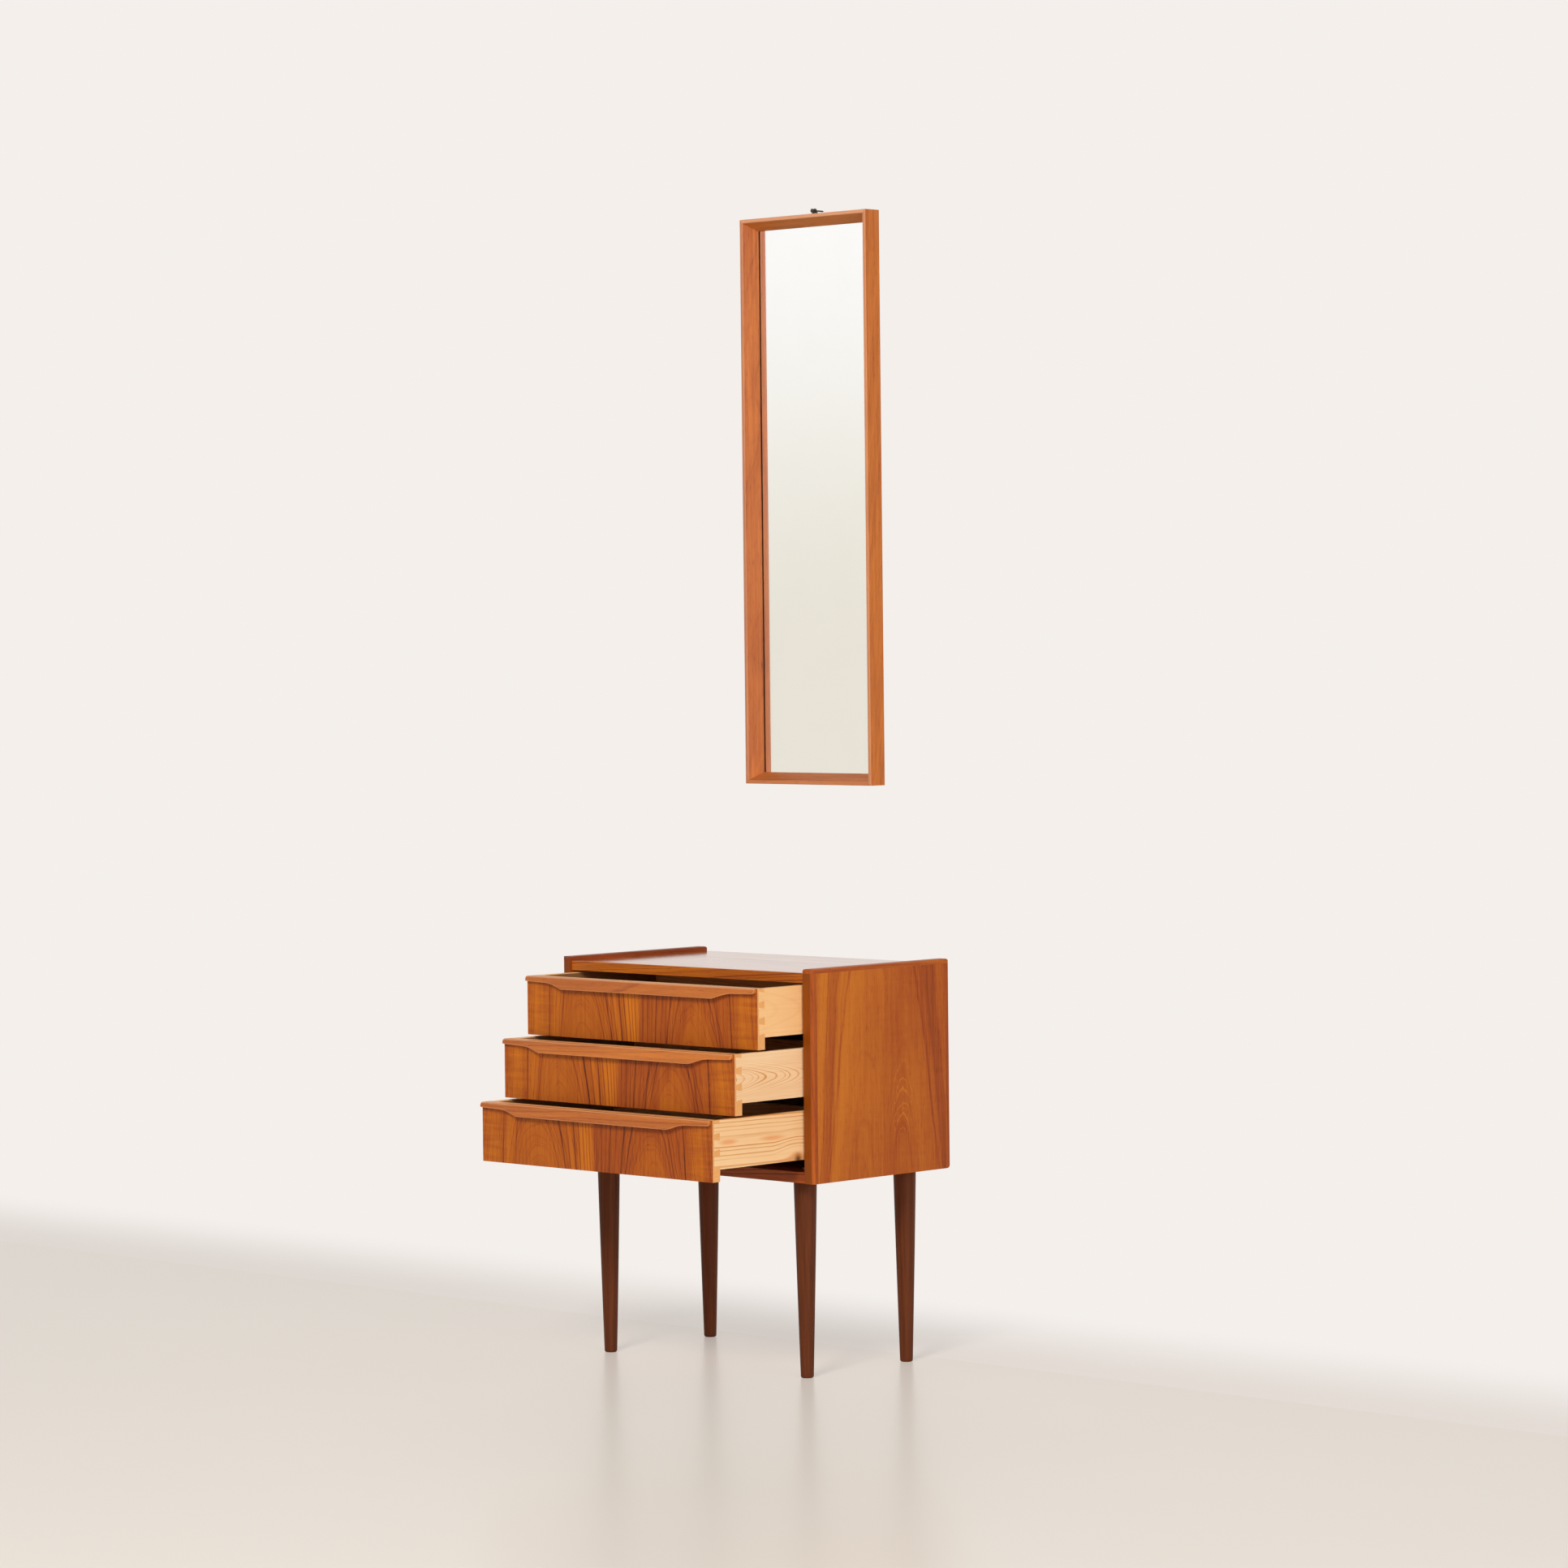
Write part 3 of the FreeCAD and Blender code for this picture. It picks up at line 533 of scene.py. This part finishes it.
def lip_loops(low, high, sizes):
    """Sections of a lip pull, carried along the drawer.

    The lower edge rises from the deep middle in a Bezier sweep to the neck, then in a straight line to the
    rounded end. The face leans out in proportion to its depth below the top. Both arrises are quadratic
    curves that start and end at their rounding's distance from the corner. Behind the wall, a hollow for
    the fingers rises by a smooth step and fades out towards the sweeps. At the ends the section shrinks by
    a quarter circle."""
    end_length, end_corner, end_shrink = 3 * MM, 2.5 * MM, 1.2 * MM
    neck_pull, foot_pull, foot_lift = 20 * MM, 15 * MM, 3.8 * MM
    hollow_fade, skin, flush = 22 * MM, 0.3 * MM, 0.1 * MM
    hollow_in = np.array([0.0, 0.1, 0.25, 0.7, 2.2]) * MM
    hollow_up = np.array([0.0, 0.25, 0.6, 0.85, 1.0])
    long_steps, end_steps, sweep_steps = 60, 9, 24
    half = (high[0] - low[0]) / 2
    top, deep, back = high[2], low[2], high[1]
    inner = (half - end_length) * np.sin(np.linspace(0, math.pi / 2, long_steps))
    ends = half - end_length * (1 - np.sin(np.linspace(0, math.pi / 2, end_steps)))
    swept = np.linspace(half - sizes.sweep_end, half - sizes.sweep_start, sweep_steps)
    right = np.unique(np.concatenate([inner, ends, swept]))
    x = np.concatenate([-right[:0:-1], right])
    away = half - np.abs(x)
    tip, neck = top - sizes.end_height, top - sizes.neck_height
    sweep = curve_through([(sizes.sweep_start, neck), (sizes.sweep_start + neck_pull, neck),
                           (sizes.sweep_end - foot_pull, deep + foot_lift), (sizes.sweep_end, deep)],
                          long_steps)
    edge = np.interp(away, np.concatenate([[0], sweep[:, 0]]), np.concatenate([[tip], sweep[:, 1]]))
    edge = edge + end_fall(end_corner, away)
    lean = (sizes.foot_reach - sizes.top_reach) / (top - deep)
    slope = math.hypot(1, lean)
    reach = (sizes.top_reach + (top - edge) * lean)[:, None]
    grown = np.clip((away - sizes.sweep_end) / hollow_fade, 0, 1)
    rise = (sizes.hollow * (3 * grown ** 2 - 2 * grown ** 3))[:, None]
    edge = edge[:, None]
    step = np.linspace(0, 1, len(ARRIS_HIGHLIGHT))
    start, finish = (1 - step) ** 2, step ** 2
    top_y = -sizes.top_reach + start * sizes.top_round - finish * sizes.top_round * lean / slope
    top_z = top - finish * sizes.top_round / slope
    foot = np.minimum(sizes.foot_round, (top - edge) / 3)
    foot_y = -reach + start * foot * lean / slope + finish * foot
    foot_z = edge + start * foot / slope
    under_y = np.minimum(-reach + sizes.wall + hollow_in, -skin)
    column = np.ones((len(x), 1))
    y = np.concatenate([0 * column, column * top_y, foot_y, under_y, 0 * column], 1)
    z = np.concatenate([top * column, column * top_z, foot_z, edge + rise * hollow_up, edge + rise], 1)
    centre_y, centre_z = y.mean(1, keepdims=True), z.mean(1, keepdims=True)
    size = np.hypot(y - centre_y, z - centre_z).max(1, keepdims=True)
    factor = 1 - end_fall(end_shrink, away)[:, None] / size
    y = centre_y + (y - centre_y) * np.where(y < -flush, factor, 1)
    z = centre_z + (z - centre_z) * factor
    x = (low[0] + high[0]) / 2 + x
    return np.stack([np.broadcast_to(x[:, None], y.shape), back + y, z], -1)


def leg_loops(low, high, sizes):
    """Rings of a turned leg: the radius is a quarter ellipse at the foot, then a straight taper plus a
    parabola for the swell, and each ring is a circle about the leg's axis."""
    foot_steps, shaft_steps, round_steps = 9, 33, 72
    axis_x, axis_y = (low[0] + high[0]) / 2, (low[1] + high[1]) / 2
    top_radius, foot_radius = (high[0] - low[0]) / 2, sizes.foot_diameter / 2
    turn = np.linspace(0, math.pi / 2, foot_steps)
    eased = sizes.foot_round_height * (1 - np.cos(turn))
    shaft = np.linspace(sizes.foot_round_height, high[2] - low[2], shaft_steps)
    z = np.concatenate([eased, shaft[1:]])
    share = z / (high[2] - low[2])
    radius = foot_radius + (top_radius - foot_radius) * share + 4 * sizes.swell * share * (1 - share)
    radius[:foot_steps] -= sizes.foot_round_width * (1 - np.sin(turn))
    around = np.linspace(0, 2 * math.pi, round_steps, endpoint=False)
    x = axis_x + radius[:, None] * np.cos(around)
    y = axis_y + radius[:, None] * np.sin(around)
    return np.stack([x, y, np.broadcast_to(low[2] + z[:, None], x.shape)], -1)


def glass_loops(low, high):
    """Rectangles of a glass plate from its front to its back, drawn in at both faces by the width of the
    ground edge. The back stops a gap before the board behind it."""
    ground, gap = 0.5 * MM, 0.1 * MM
    inset = np.array([ground, 0.0, 0.0, ground])
    depth = np.array([low[1], low[1] + ground, high[1] - ground - gap, high[1] - gap])
    side = np.array([-1, 1, 1, -1])
    level = np.array([-1, -1, 1, 1])
    centre, half = (np.array(low) + np.array(high)) / 2, (np.array(high) - np.array(low)) / 2
    x = centre[0] + side * (half[0] - inset)[:, None]
    z = centre[2] + level * (half[2] - inset)[:, None]
    return np.stack([x, np.broadcast_to(depth[:, None], x.shape), z], -1)


class CaseBoards(bpy.types.Operator):
    """Veneers the sides, top, base and back of the case"""

    bl_idname = "hallchest.case_boards"
    bl_label = "Case boards"

    def execute(self, context):
        woods = context.scene.hallchest_woods
        veneer = (woods.teak_light, woods.teak_ruddy, woods.teak_dark)
        sober = (woods.teak_side, woods.teak_ruddy, woods.teak_dark)
        for side, depth in zip(SIDES, (311, -311)):
            veneered = teak(f"teak_veneer_sliced_oiled_side_{side}", UPRIGHT_SIDE, sober, pith=(40, depth),
                            taper=0.08, tone=0.33, spacing=7.0, wander=9.0, fold=88, middle=441, rings=0.08,
                            bands=0.2, fibres=0.36, figure=(0.08, -1, 0), streaks=SIDE_STREAKS_AND_SHADE, leaves=0.08,
                            flame=((130, -45), (42, 80), 0.2))
            dress(veneered, f"side_panel_{side}")
        top = teak("teak_veneer_sliced_oiled_top", LONG_TOP, veneer, pith=(60, 480), taper=0.05, tone=0.3,
                   spacing=6.0, rings=0.3, roughness=0.12, gloss=0.72, lacquer=0.4)
        dress(top, "top_panel")
        base = teak("teak_veneer_sliced_oiled_base", LONG_TOP, veneer, pith=(40, 180), taper=0.04, tone=0.4)
        dress(base, "base_panel")
        back = pine("plywood_rotary_cut_stained_back", UPRIGHT_FRONT, linear("#8A5A34"), linear("#5C3518"),
                    pith=(40, 60), taper=0.12, spacing=11.0, lines=0.5, wander=14.0, tone=0.2, roughness=0.6)
        dress(back, "back_panel")
        return {"FINISHED"}


class Lippings(bpy.types.Operator):
    """Lips the case's edges with solid teak"""

    bl_idname = "hallchest.lippings"
    bl_label = "Lippings"

    def execute(self, context):
        woods = context.scene.hallchest_woods
        sober = (woods.teak_side, woods.teak_ruddy, woods.teak_dark)
        front = span("side_front_lipping_left", 1)[0] / MM
        # The uprights' front faces are tinted dark: painted shade
        for name, end, tone, rim in (("uprights", "front", 0.47, (front, 0.8, 0.75, woods.lipping_front_shade)),
                                     ("rears", "back", 0.46, None)):
            wood = teak(f"teak_solid_planed_oiled_{name}", UPRIGHT_SIDE, sober, pith=(-200, -330), taper=0.02,
                        tone=tone, spacing=3.2, rim=rim, roughness=0.38)
            dress(wood, *[f"side_{end}_lipping_{side}" for side in SIDES])
        # The left top lipping's darker tone is painted shade
        for side, tone in (("left", 0.72), ("right", 0.4)):
            upper = teak(f"teak_solid_planed_oiled_upper_{side}", DEEP_SIDE, sober, pith=(500, 100),
                         taper=0.02, tone=tone, spacing=3.0, rings=0.12, bands=0.3, roughness=0.38)
            dress(upper, f"side_top_lipping_{side}")
        veneer = (woods.teak_light, woods.teak_ruddy, woods.teak_dark)
        # The base strip's darker tone is painted shade, as under the bottom drawer
        for level, tone in (("top", 0.22), ("base", 0.6)):
            strip = teak(f"teak_solid_planed_oiled_{level}_strip", LONG_FRONT, veneer, pith=(-640, -90),
                         taper=0.06, tone=tone, spacing=3.6, rings=0.4, bands=0.6, roughness=0.36)
            dress(strip, f"{level}_edge_strip")
        return {"FINISHED"}


class DrawerFacings(bpy.types.Operator):
    """Veneers the drawer fronts with two matched leaves"""

    bl_idname = "hallchest.drawer_facings"
    bl_label = "Drawer facings"

    def execute(self, context):
        woods = context.scene.hallchest_woods
        veneer = (woods.teak_light, woods.teak_ruddy, woods.teak_dark)
        for drawer, shift, tone, boldness in (("top", 0.0, 0.36, 0.9), ("middle", 2.0, 0.37, 0.88),
                                              ("bottom", -3.0, 0.4, 0.82)):
            node = f"drawer_{drawer}_facing"
            deep = span(node, 1)[0] / MM
            streaks = [(place + shift, lean, half, depth * boldness)
                       for place, lean, half, depth in FACING_STREAKS]
            facing = teak(f"teak_veneer_sliced_oiled_facing_{drawer}", UPRIGHT_FRONT, veneer,
                          pith=(117, deep - 341), taper=0.03, tone=tone, spacing=0.55, fold=-2,
                          middle=sum(span(node, 2)) / 2 / MM, rings=0.22, bands=0.2, figure=(0.45, 170, 205),
                          streaks=streaks, leaves=0.12)
            dress(facing, node)
        return {"FINISHED"}


class DrawerBoxes(bpy.types.Operator):
    """Gives the drawer cores, sides, backs, bottoms and runners their bare pine and plywood"""

    bl_idname = "hallchest.drawer_boxes"
    bl_label = "Drawer boxes"

    def execute(self, context):
        woods = context.scene.hallchest_woods
        light, dark = woods.pine_light, woods.pine_dark
        cuts = {"top": dict(light=linear("#FFD29A"), pith=(545, 330), taper=0.05, spacing=3.0, lines=0.12),
                "middle": dict(light=linear("#FFDFB6"), pith=(449, 225), taper=0.11, spacing=1.8, lines=0.72,
                               wander=5.0, fade=(8, 26)),
                "bottom": dict(light=linear("#FFDAAA"), pith=(60, 240), taper=0.012, spacing=8.0, lines=0.9,
                               knot=(326, -72), stains=[((361, -125), (5, 34)), ((362, -214), (5, 24))])}
        for drawer, cut in cuts.items():
            # Inner faces of the drawer sides, which take painted shade
            shaded_inside = min(abs(edge) for edge in span(f"drawer_{drawer}_side_left", 0)) / MM
            sides = pine(f"pine_planed_bare_{drawer}", DEEP_SIDE, dark=dark, shaded_inside=shaded_inside, **cut)
            dress(sides, *[f"drawer_{drawer}_side_{side}" for side in SIDES])
        core = pine("pine_planed_bare_cores", LONG_FRONT, linear("#F4B878"), linear("#CE8646"),
                    pith=(-420, -260), taper=0.03, spacing=3.0, lines=0.4)
        back = pine("pine_planed_bare_backs", LONG_FRONT, light, dark, pith=(-430, 60), taper=0.05,
                    spacing=4.0, lines=0.6)
        bottom = pine("plywood_rotary_cut_bottoms", LONG_TOP, woods.plywood_face, linear("#5E3A1C"),
                      pith=(20, 540), taper=0.1, spacing=9.0, lines=0.5, wander=12.0, tone=0.15,
                      roughness=0.6)
        runner = pine("pine_sawn_worn_runners", DEEP_SIDE, linear("#B98A55"), linear("#7E5227"),
                      pith=(300, 210), taper=0.03, spacing=3.0, lines=0.7, tone=0.2)
        for drawer in DRAWERS:
            dress(core, f"drawer_{drawer}_front")
            dress(back, f"drawer_{drawer}_back")
            dress(bottom, f"drawer_{drawer}_bottom")
            dress(runner, *[f"runner_{drawer}_{side}" for side in SIDES])
        return {"FINISHED"}


class LipPulls(bpy.types.Operator):
    """Shapes the sculpted lip pulls"""

    bl_idname = "hallchest.lip_pulls"
    bl_label = "Lip pulls"

    def execute(self, context):
        woods = context.scene.hallchest_woods
        solid = (woods.teak_solid, woods.teak_solid_ruddy, woods.teak_dark)
        # Lip teak with a painted highlight on its rounded arrises
        wood = teak("teak_solid_shaped_oiled_lips", LONG_FRONT, solid, pith=(-700, -420), taper=0.02,
                    tone=0.19, spacing=2.6, bands=0.35, wear_and_highlight=0.6, roughness=0.26, gloss=0.3)
        for drawer in DRAWERS:
            node = f"drawer_{drawer}_lip"
            low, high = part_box(node)
            loops = lip_loops(low, high, context.scene.hallchest_lips)
            pull = closed_piece(f"lip_pull_{drawer}", loops, f"drawer_{drawer}", [node], [wood])
            # Share of painted highlight at the points of both rounded arrises
            marks = np.zeros(loops.shape[:2])
            marks[:, 1:1 + 2 * len(ARRIS_HIGHLIGHT)] = ARRIS_HIGHLIGHT * 2
            arris = pull.data.attributes.new("arris", "FLOAT", "POINT")
            arris.data.foreach_set("value", np.append(marks, [0.0, 0.0]))
        return {"FINISHED"}


class Legs(bpy.types.Operator):
    """Turns the four tapered legs"""

    bl_idname = "hallchest.legs"
    bl_label = "Legs"

    def execute(self, context):
        woods = context.scene.hallchest_woods
        wood = stained_wood("hardwood_turned_stained_lacquered", UPRIGHT_FRONT, woods.leg_ground,
                            woods.leg_streak)
        for end in ("front", "back"):
            for side in SIDES:
                node = f"leg_{end}_{side}"
                low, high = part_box(node)
                loops = leg_loops(low, high, context.scene.hallchest_legs)
                closed_piece(f"turned_{node}", loops, "chest", [node], [wood])
        return {"FINISHED"}


class MirrorFrame(bpy.types.Operator):
    """Gives the mirror's rails and backing their woods"""

    bl_idname = "hallchest.mirror_frame"
    bl_label = "Mirror frame"

    def execute(self, context):
        woods = context.scene.hallchest_woods
        solid = (woods.teak_mirror, woods.teak_mirror_ruddy, woods.teak_dark)
        front = span("mirror_rail_left", 1)[0] / MM
        # Painted highlight: the rails' front rims turn pale pink, most on the top rail and least on the
        # bottom
        bare, rim_reach = linear("#EBC0A6"), 1.6
        for side, tone, taper in (("left", 0.4, 0.03), ("right", 0.2, -0.1)):
            upright = teak(f"teak_solid_planed_oiled_mirror_{side}", UPRIGHT_SIDE, solid, pith=(120, -280),
                           taper=taper, tone=tone, spacing=1.6, wander=9.0, rings=0.1, fibres=0.7, clouds=0.5,
                           pores=0.2, rim=(front, rim_reach, 0.3, bare))
            dress(upright, f"mirror_rail_{side}")
        for level, tone, share in (("top", 0.0, 0.5), ("bottom", 0.25, 0.15)):
            cross = teak(f"teak_solid_planed_oiled_mirror_{level}", LONG_FRONT, solid, pith=(-1290, 60),
                         taper=0.02, tone=tone, spacing=1.6, rings=0.1, fibres=0.7, pores=0.2,
                         rim=(front, rim_reach, share, bare))
            dress(cross, f"mirror_rail_{level}")
        board = pine("hardboard_pressed_backing", UPRIGHT_FRONT, linear("#8E6A45"), linear("#6E4E30"),
                     pith=(0, 700), taper=0.0, spacing=2.5, lines=0.0, wander=30.0, tone=0.3, roughness=0.7)
        dress(board, "mirror_backing")
        return {"FINISHED"}


class MirrorGlass(bpy.types.Operator):
    """Makes the mirror's plate, clear at its front and edges and silvered at its back"""

    bl_idname = "hallchest.mirror_glass"
    bl_label = "Mirror glass"

    def execute(self, context):
        # Float glass, polished: quite clear, with a pale gleam at its ground edges
        clear, add, shader = start_material("float_glass_clear", 0.0, IOR=1.52, Transmission_Weight=1.0,
                                            Base_Color=linear("#FFFFFF"))
        # Silver, laid on the glass: a sharp mirror, very faintly clouded in patches 71 mm wide
        silver, add, shader = start_material("glass_back_silvered", 0.0, Metallic=1.0)
        place = add("TexCoord", out="Object")
        cloud = add("TexNoise", {"Vector": place, "Scale": 1 / (500 / 7 * MM), "Detail": 3.0})
        paint = add("Mix", {0: cloud, 6: linear("#FDFCFA"), 7: linear("#FAF9F6")}, **COLOURS)
        wire(shader, {"Base Color": paint})
        low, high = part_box("mirror_glass")
        plate = closed_piece("mirror_plate", glass_loops(low, high), "mirror", ["mirror_glass"],
                             [clear, silver], smooth_angle=20)
        normals = np.zeros(len(plate.data.polygons) * 3)
        plate.data.polygons.foreach_get("normal", normals)
        behind = normals.reshape(-1, 3)[:, 1] > 0.9
        plate.data.polygons.foreach_set("material_index", behind.astype(np.int32))
        return {"FINISHED"}


class Fixings(bpy.types.Operator):
    """Gives the nail, hanger, screws, tacks, studs and nuts their metals"""

    bl_idname = "hallchest.fixings"
    bl_label = "Fixings"

    def execute(self, context):
        black = metal("steel_wire_blackened", linear("#6A665A"), linear("#35322B"), roughness=0.45, patch=2.5)
        dress(black, "wall_nail", "mirror_hanger")
        steel = metal("steel_zinc_plated", linear("#B4B2AA"), linear("#8C8A82"), roughness=0.34, patch=3.0)
        dress(steel, "mirror_hanger_screws", "mirror_backing_tacks", "leg_studs", "leg_nuts")
        return {"FINISHED"}


class Stage(bpy.types.Operator):
    """Sets the floor, the pale surround, the lamps and the camera"""

    bl_idname = "hallchest.stage"
    bl_label = "Stage"

    def execute(self, context):
        scene = context.scene
        stage = scene.hallchest_stage
        self.lay_floor(scene, stage)
        self.set_surround(scene, stage)
        self.hang_lamps(scene, stage)
        self.place_camera(scene, stage)
        scene.view_settings.view_transform = "Standard"
        return {"FINISHED"}

    def seen_rays(self, add, ray):
        """1 for what the camera, mirrors and glass see, and 0 for the light that surfaces get."""
        seen = add("Math", [ray["Is Camera Ray"], ray["Is Glossy Ray"]], operation="MAXIMUM")
        return add("Math", [seen, ray["Is Transmission Ray"]], operation="MAXIMUM")

    def lay_floor(self, scene, stage):
        """A square floor of screed, polished: a pale cloudy ground with a soft gleam, its clouds 625 mm wide.
        At its back it turns paler, and far off it takes the surround's colour for the camera and for mirrors,
        so that it has no edge. Nearby it takes a share of that colour. Lengths are in metres."""
        back_start, back_end, pale_start, pale_end = 0.238, 0.252, 0.26, 0.75
        far_start, far_end, near_share, half_side = 3.5, 7.0, 0.35, 9.0
        made, add, shader = start_material("screed_polished", 0.27, IOR=1.45, Specular_IOR_Level=0.38)
        place = add("TexCoord", out="Object")
        backwards = add("SeparateXYZ", [place], out=1)
        behind = add("MapRange", [backwards, back_start, back_end], **SMOOTH)
        cloud = add("TexNoise", {"Vector": place, "Scale": 1 / (625 * MM), "Detail": 3.0})
        ground = add("Mix", {0: cloud, 6: stage.floor, 7: linear("#ECE7DB")}, **COLOURS)
        paint = add("Mix", {0: behind, 6: ground, 7: stage.backdrop}, **COLOURS)
        wire(shader, {"Base Color": paint})
        distant = add("MapRange", [backwards, pale_start, pale_end], **SMOOTH)
        radius = add("VectorMath", [place], operation="LENGTH", out="Value")
        wide = add("MapRange", [radius, far_start, far_end], **SMOOTH)
        faded = add("Math", [distant, wide], operation="MAXIMUM")
        ray = add("LightPath", out=None)
        seen = self.seen_rays(add, ray)
        faded = add("MapRange", {0: faded, 3: near_share, 4: 1.0})
        share = add("Math", [faded, seen], operation="MULTIPLY")
        tint = add("Mix", {0: ray["Is Camera Ray"], 6: stage.mirrored, 7: stage.backdrop}, **COLOURS)
        glow = add("Emission", {"Color": tint})
        mixed = add("MixShader", [share, shader.outputs[0], glow])
        wire(made.node_tree.nodes["Material Output"], [mixed])
        side = np.array([-half_side, half_side])
        x, y = np.meshgrid(side, side)
        mesh = bpy.data.meshes.new("floor")
        mesh.from_pydata(np.stack([x, y, 0 * x], -1).reshape(-1, 3).tolist(), [], [(0, 1, 3, 2)])
        mesh.materials.append(made)
        floor = bpy.data.objects.new("floor", mesh)
        scene.collection.objects.link(floor)

    def set_surround(self, scene, stage):
        """Soft light from all round. The camera, mirrors and glass see the pale backdrop instead. In front,
        mirrors and glass see it whiter above the horizon and greyer below it."""
        front_start, front_end, low_end, high_start = 0.1, -0.2, -0.005, 0.085
        world = bpy.data.worlds.new("pale_surround")
        scene.world = world
        world.use_nodes = True
        world.node_tree.nodes.clear()
        add = partial(add_node, world.node_tree)
        heading = add("TexCoord", out="Generated")
        backwards, upwards = add("SeparateXYZ", [heading], out=None)[1:]
        front = add("MapRange", [backwards, front_start, front_end])
        height = add("MapRange", [upwards, low_end, high_start], **SMOOTH)
        ahead = add("Mix", {0: height, 6: stage.mirrored, 7: linear("#FFFFFF")}, **COLOURS)
        ray = add("LightPath", out=None)
        front = add("Math", [front, ray["Is Camera Ray"]], operation="SUBTRACT", use_clamp=True)
        shown = add("Mix", {0: front, 6: stage.backdrop, 7: ahead}, **COLOURS)
        seen = self.seen_rays(add, ray)
        soft = add("Background", {"Color": linear("#FFF8F0"), "Strength": stage.sky})
        pale = add("Background", {"Color": shown, "Strength": 1.0})
        both = add("MixShader", [seen, soft, pale])
        add("OutputWorld", {"Surface": both}, out=None)

    def hang_lamps(self, scene, stage):
        """Three large soft lamps, aimed at the top of the chest. The one behind is not mirrored in it."""
        chest_top = Vector((0, 0, 0.6))
        for name, place, size, watts in (("key_lamp", (2.6, -5.4, 4.4), 1.9, stage.key),
                                         ("fill_lamp", (8.0, -2.2, 1.8), 4.0, stage.fill),
                                         ("back_lamp", (-3.3, 3.4, 2.7), 2.4, stage.back)):
            data = bpy.data.lights.new(name, "AREA")
            data.energy = watts
            data.size = size
            data.color = linear("#FFF4E8")[:3]
            lamp = bpy.data.objects.new(name, data)
            lamp.location = place
            lamp.rotation_euler = (chest_top - Vector(place)).to_track_quat("-Z", "Y").to_euler()
            lamp.visible_glossy = name != "back_lamp"
            scene.collection.objects.link(lamp)

    def place_camera(self, scene, stage):
        """The camera looks along its azimuth and pitch; its axes are turned by the roll about that line."""
        a, e, r = stage.azimuth, stage.pitch, stage.roll
        ahead = Vector((-math.sin(a) * math.cos(e), math.cos(a) * math.cos(e), -math.sin(e)))
        level = Vector((math.cos(a), math.sin(a), 0))
        above = level.cross(ahead)
        right = math.cos(r) * level + math.sin(r) * above
        up = math.cos(r) * above - math.sin(r) * level
        data = bpy.data.cameras.new("camera")
        data.sensor_width = 36.0
        data.lens = stage.lens
        data.clip_end = 100.0
        camera = bpy.data.objects.new("camera", data)
        turned = Matrix((right, up, -ahead)).transposed().to_4x4()
        camera.matrix_world = Matrix.Translation(stage.place) @ turned
        scene.collection.objects.link(camera)
        scene.camera = camera


MAKERS = (CaseBoards, Lippings, DrawerFacings, DrawerBoxes, LipPulls, Legs, MirrorFrame, MirrorGlass, Fixings,
          Stage)
SETTINGS = {"hallchest_lips": LipPullSizes, "hallchest_legs": LegSizes, "hallchest_woods": WoodColours,
            "hallchest_stage": StageSettings}


class HallChestPanel(bpy.types.Panel):
    """Lists the settings and the makers of the hall chest"""

    bl_idname = "HALLCHEST_PT_panel"
    bl_label = "Hall chest"
    bl_space_type = "VIEW_3D"
    bl_region_type = "UI"
    bl_category = "Hall chest"

    def draw(self, context):
        for maker in MAKERS:
            self.layout.operator(maker.bl_idname)
        for place, kind in SETTINGS.items():
            box = self.layout.box()
            for setting in kind.__annotations__:
                box.prop(getattr(context.scene, place), setting)


CLASSES = (*SETTINGS.values(), *MAKERS, HallChestPanel)


def register():
    for kind in CLASSES:
        bpy.utils.register_class(kind)
    for place, kind in SETTINGS.items():
        setattr(bpy.types.Scene, place, PointerProperty(type=kind))


def unregister():
    for place in SETTINGS:
        delattr(bpy.types.Scene, place)
    for kind in reversed(CLASSES):
        bpy.utils.unregister_class(kind)


def main():
    register()
    for maker in MAKERS:
        group, name = maker.bl_idname.split(".")
        getattr(getattr(bpy.ops, group), name)()


if __name__ == "__main__":
    main()
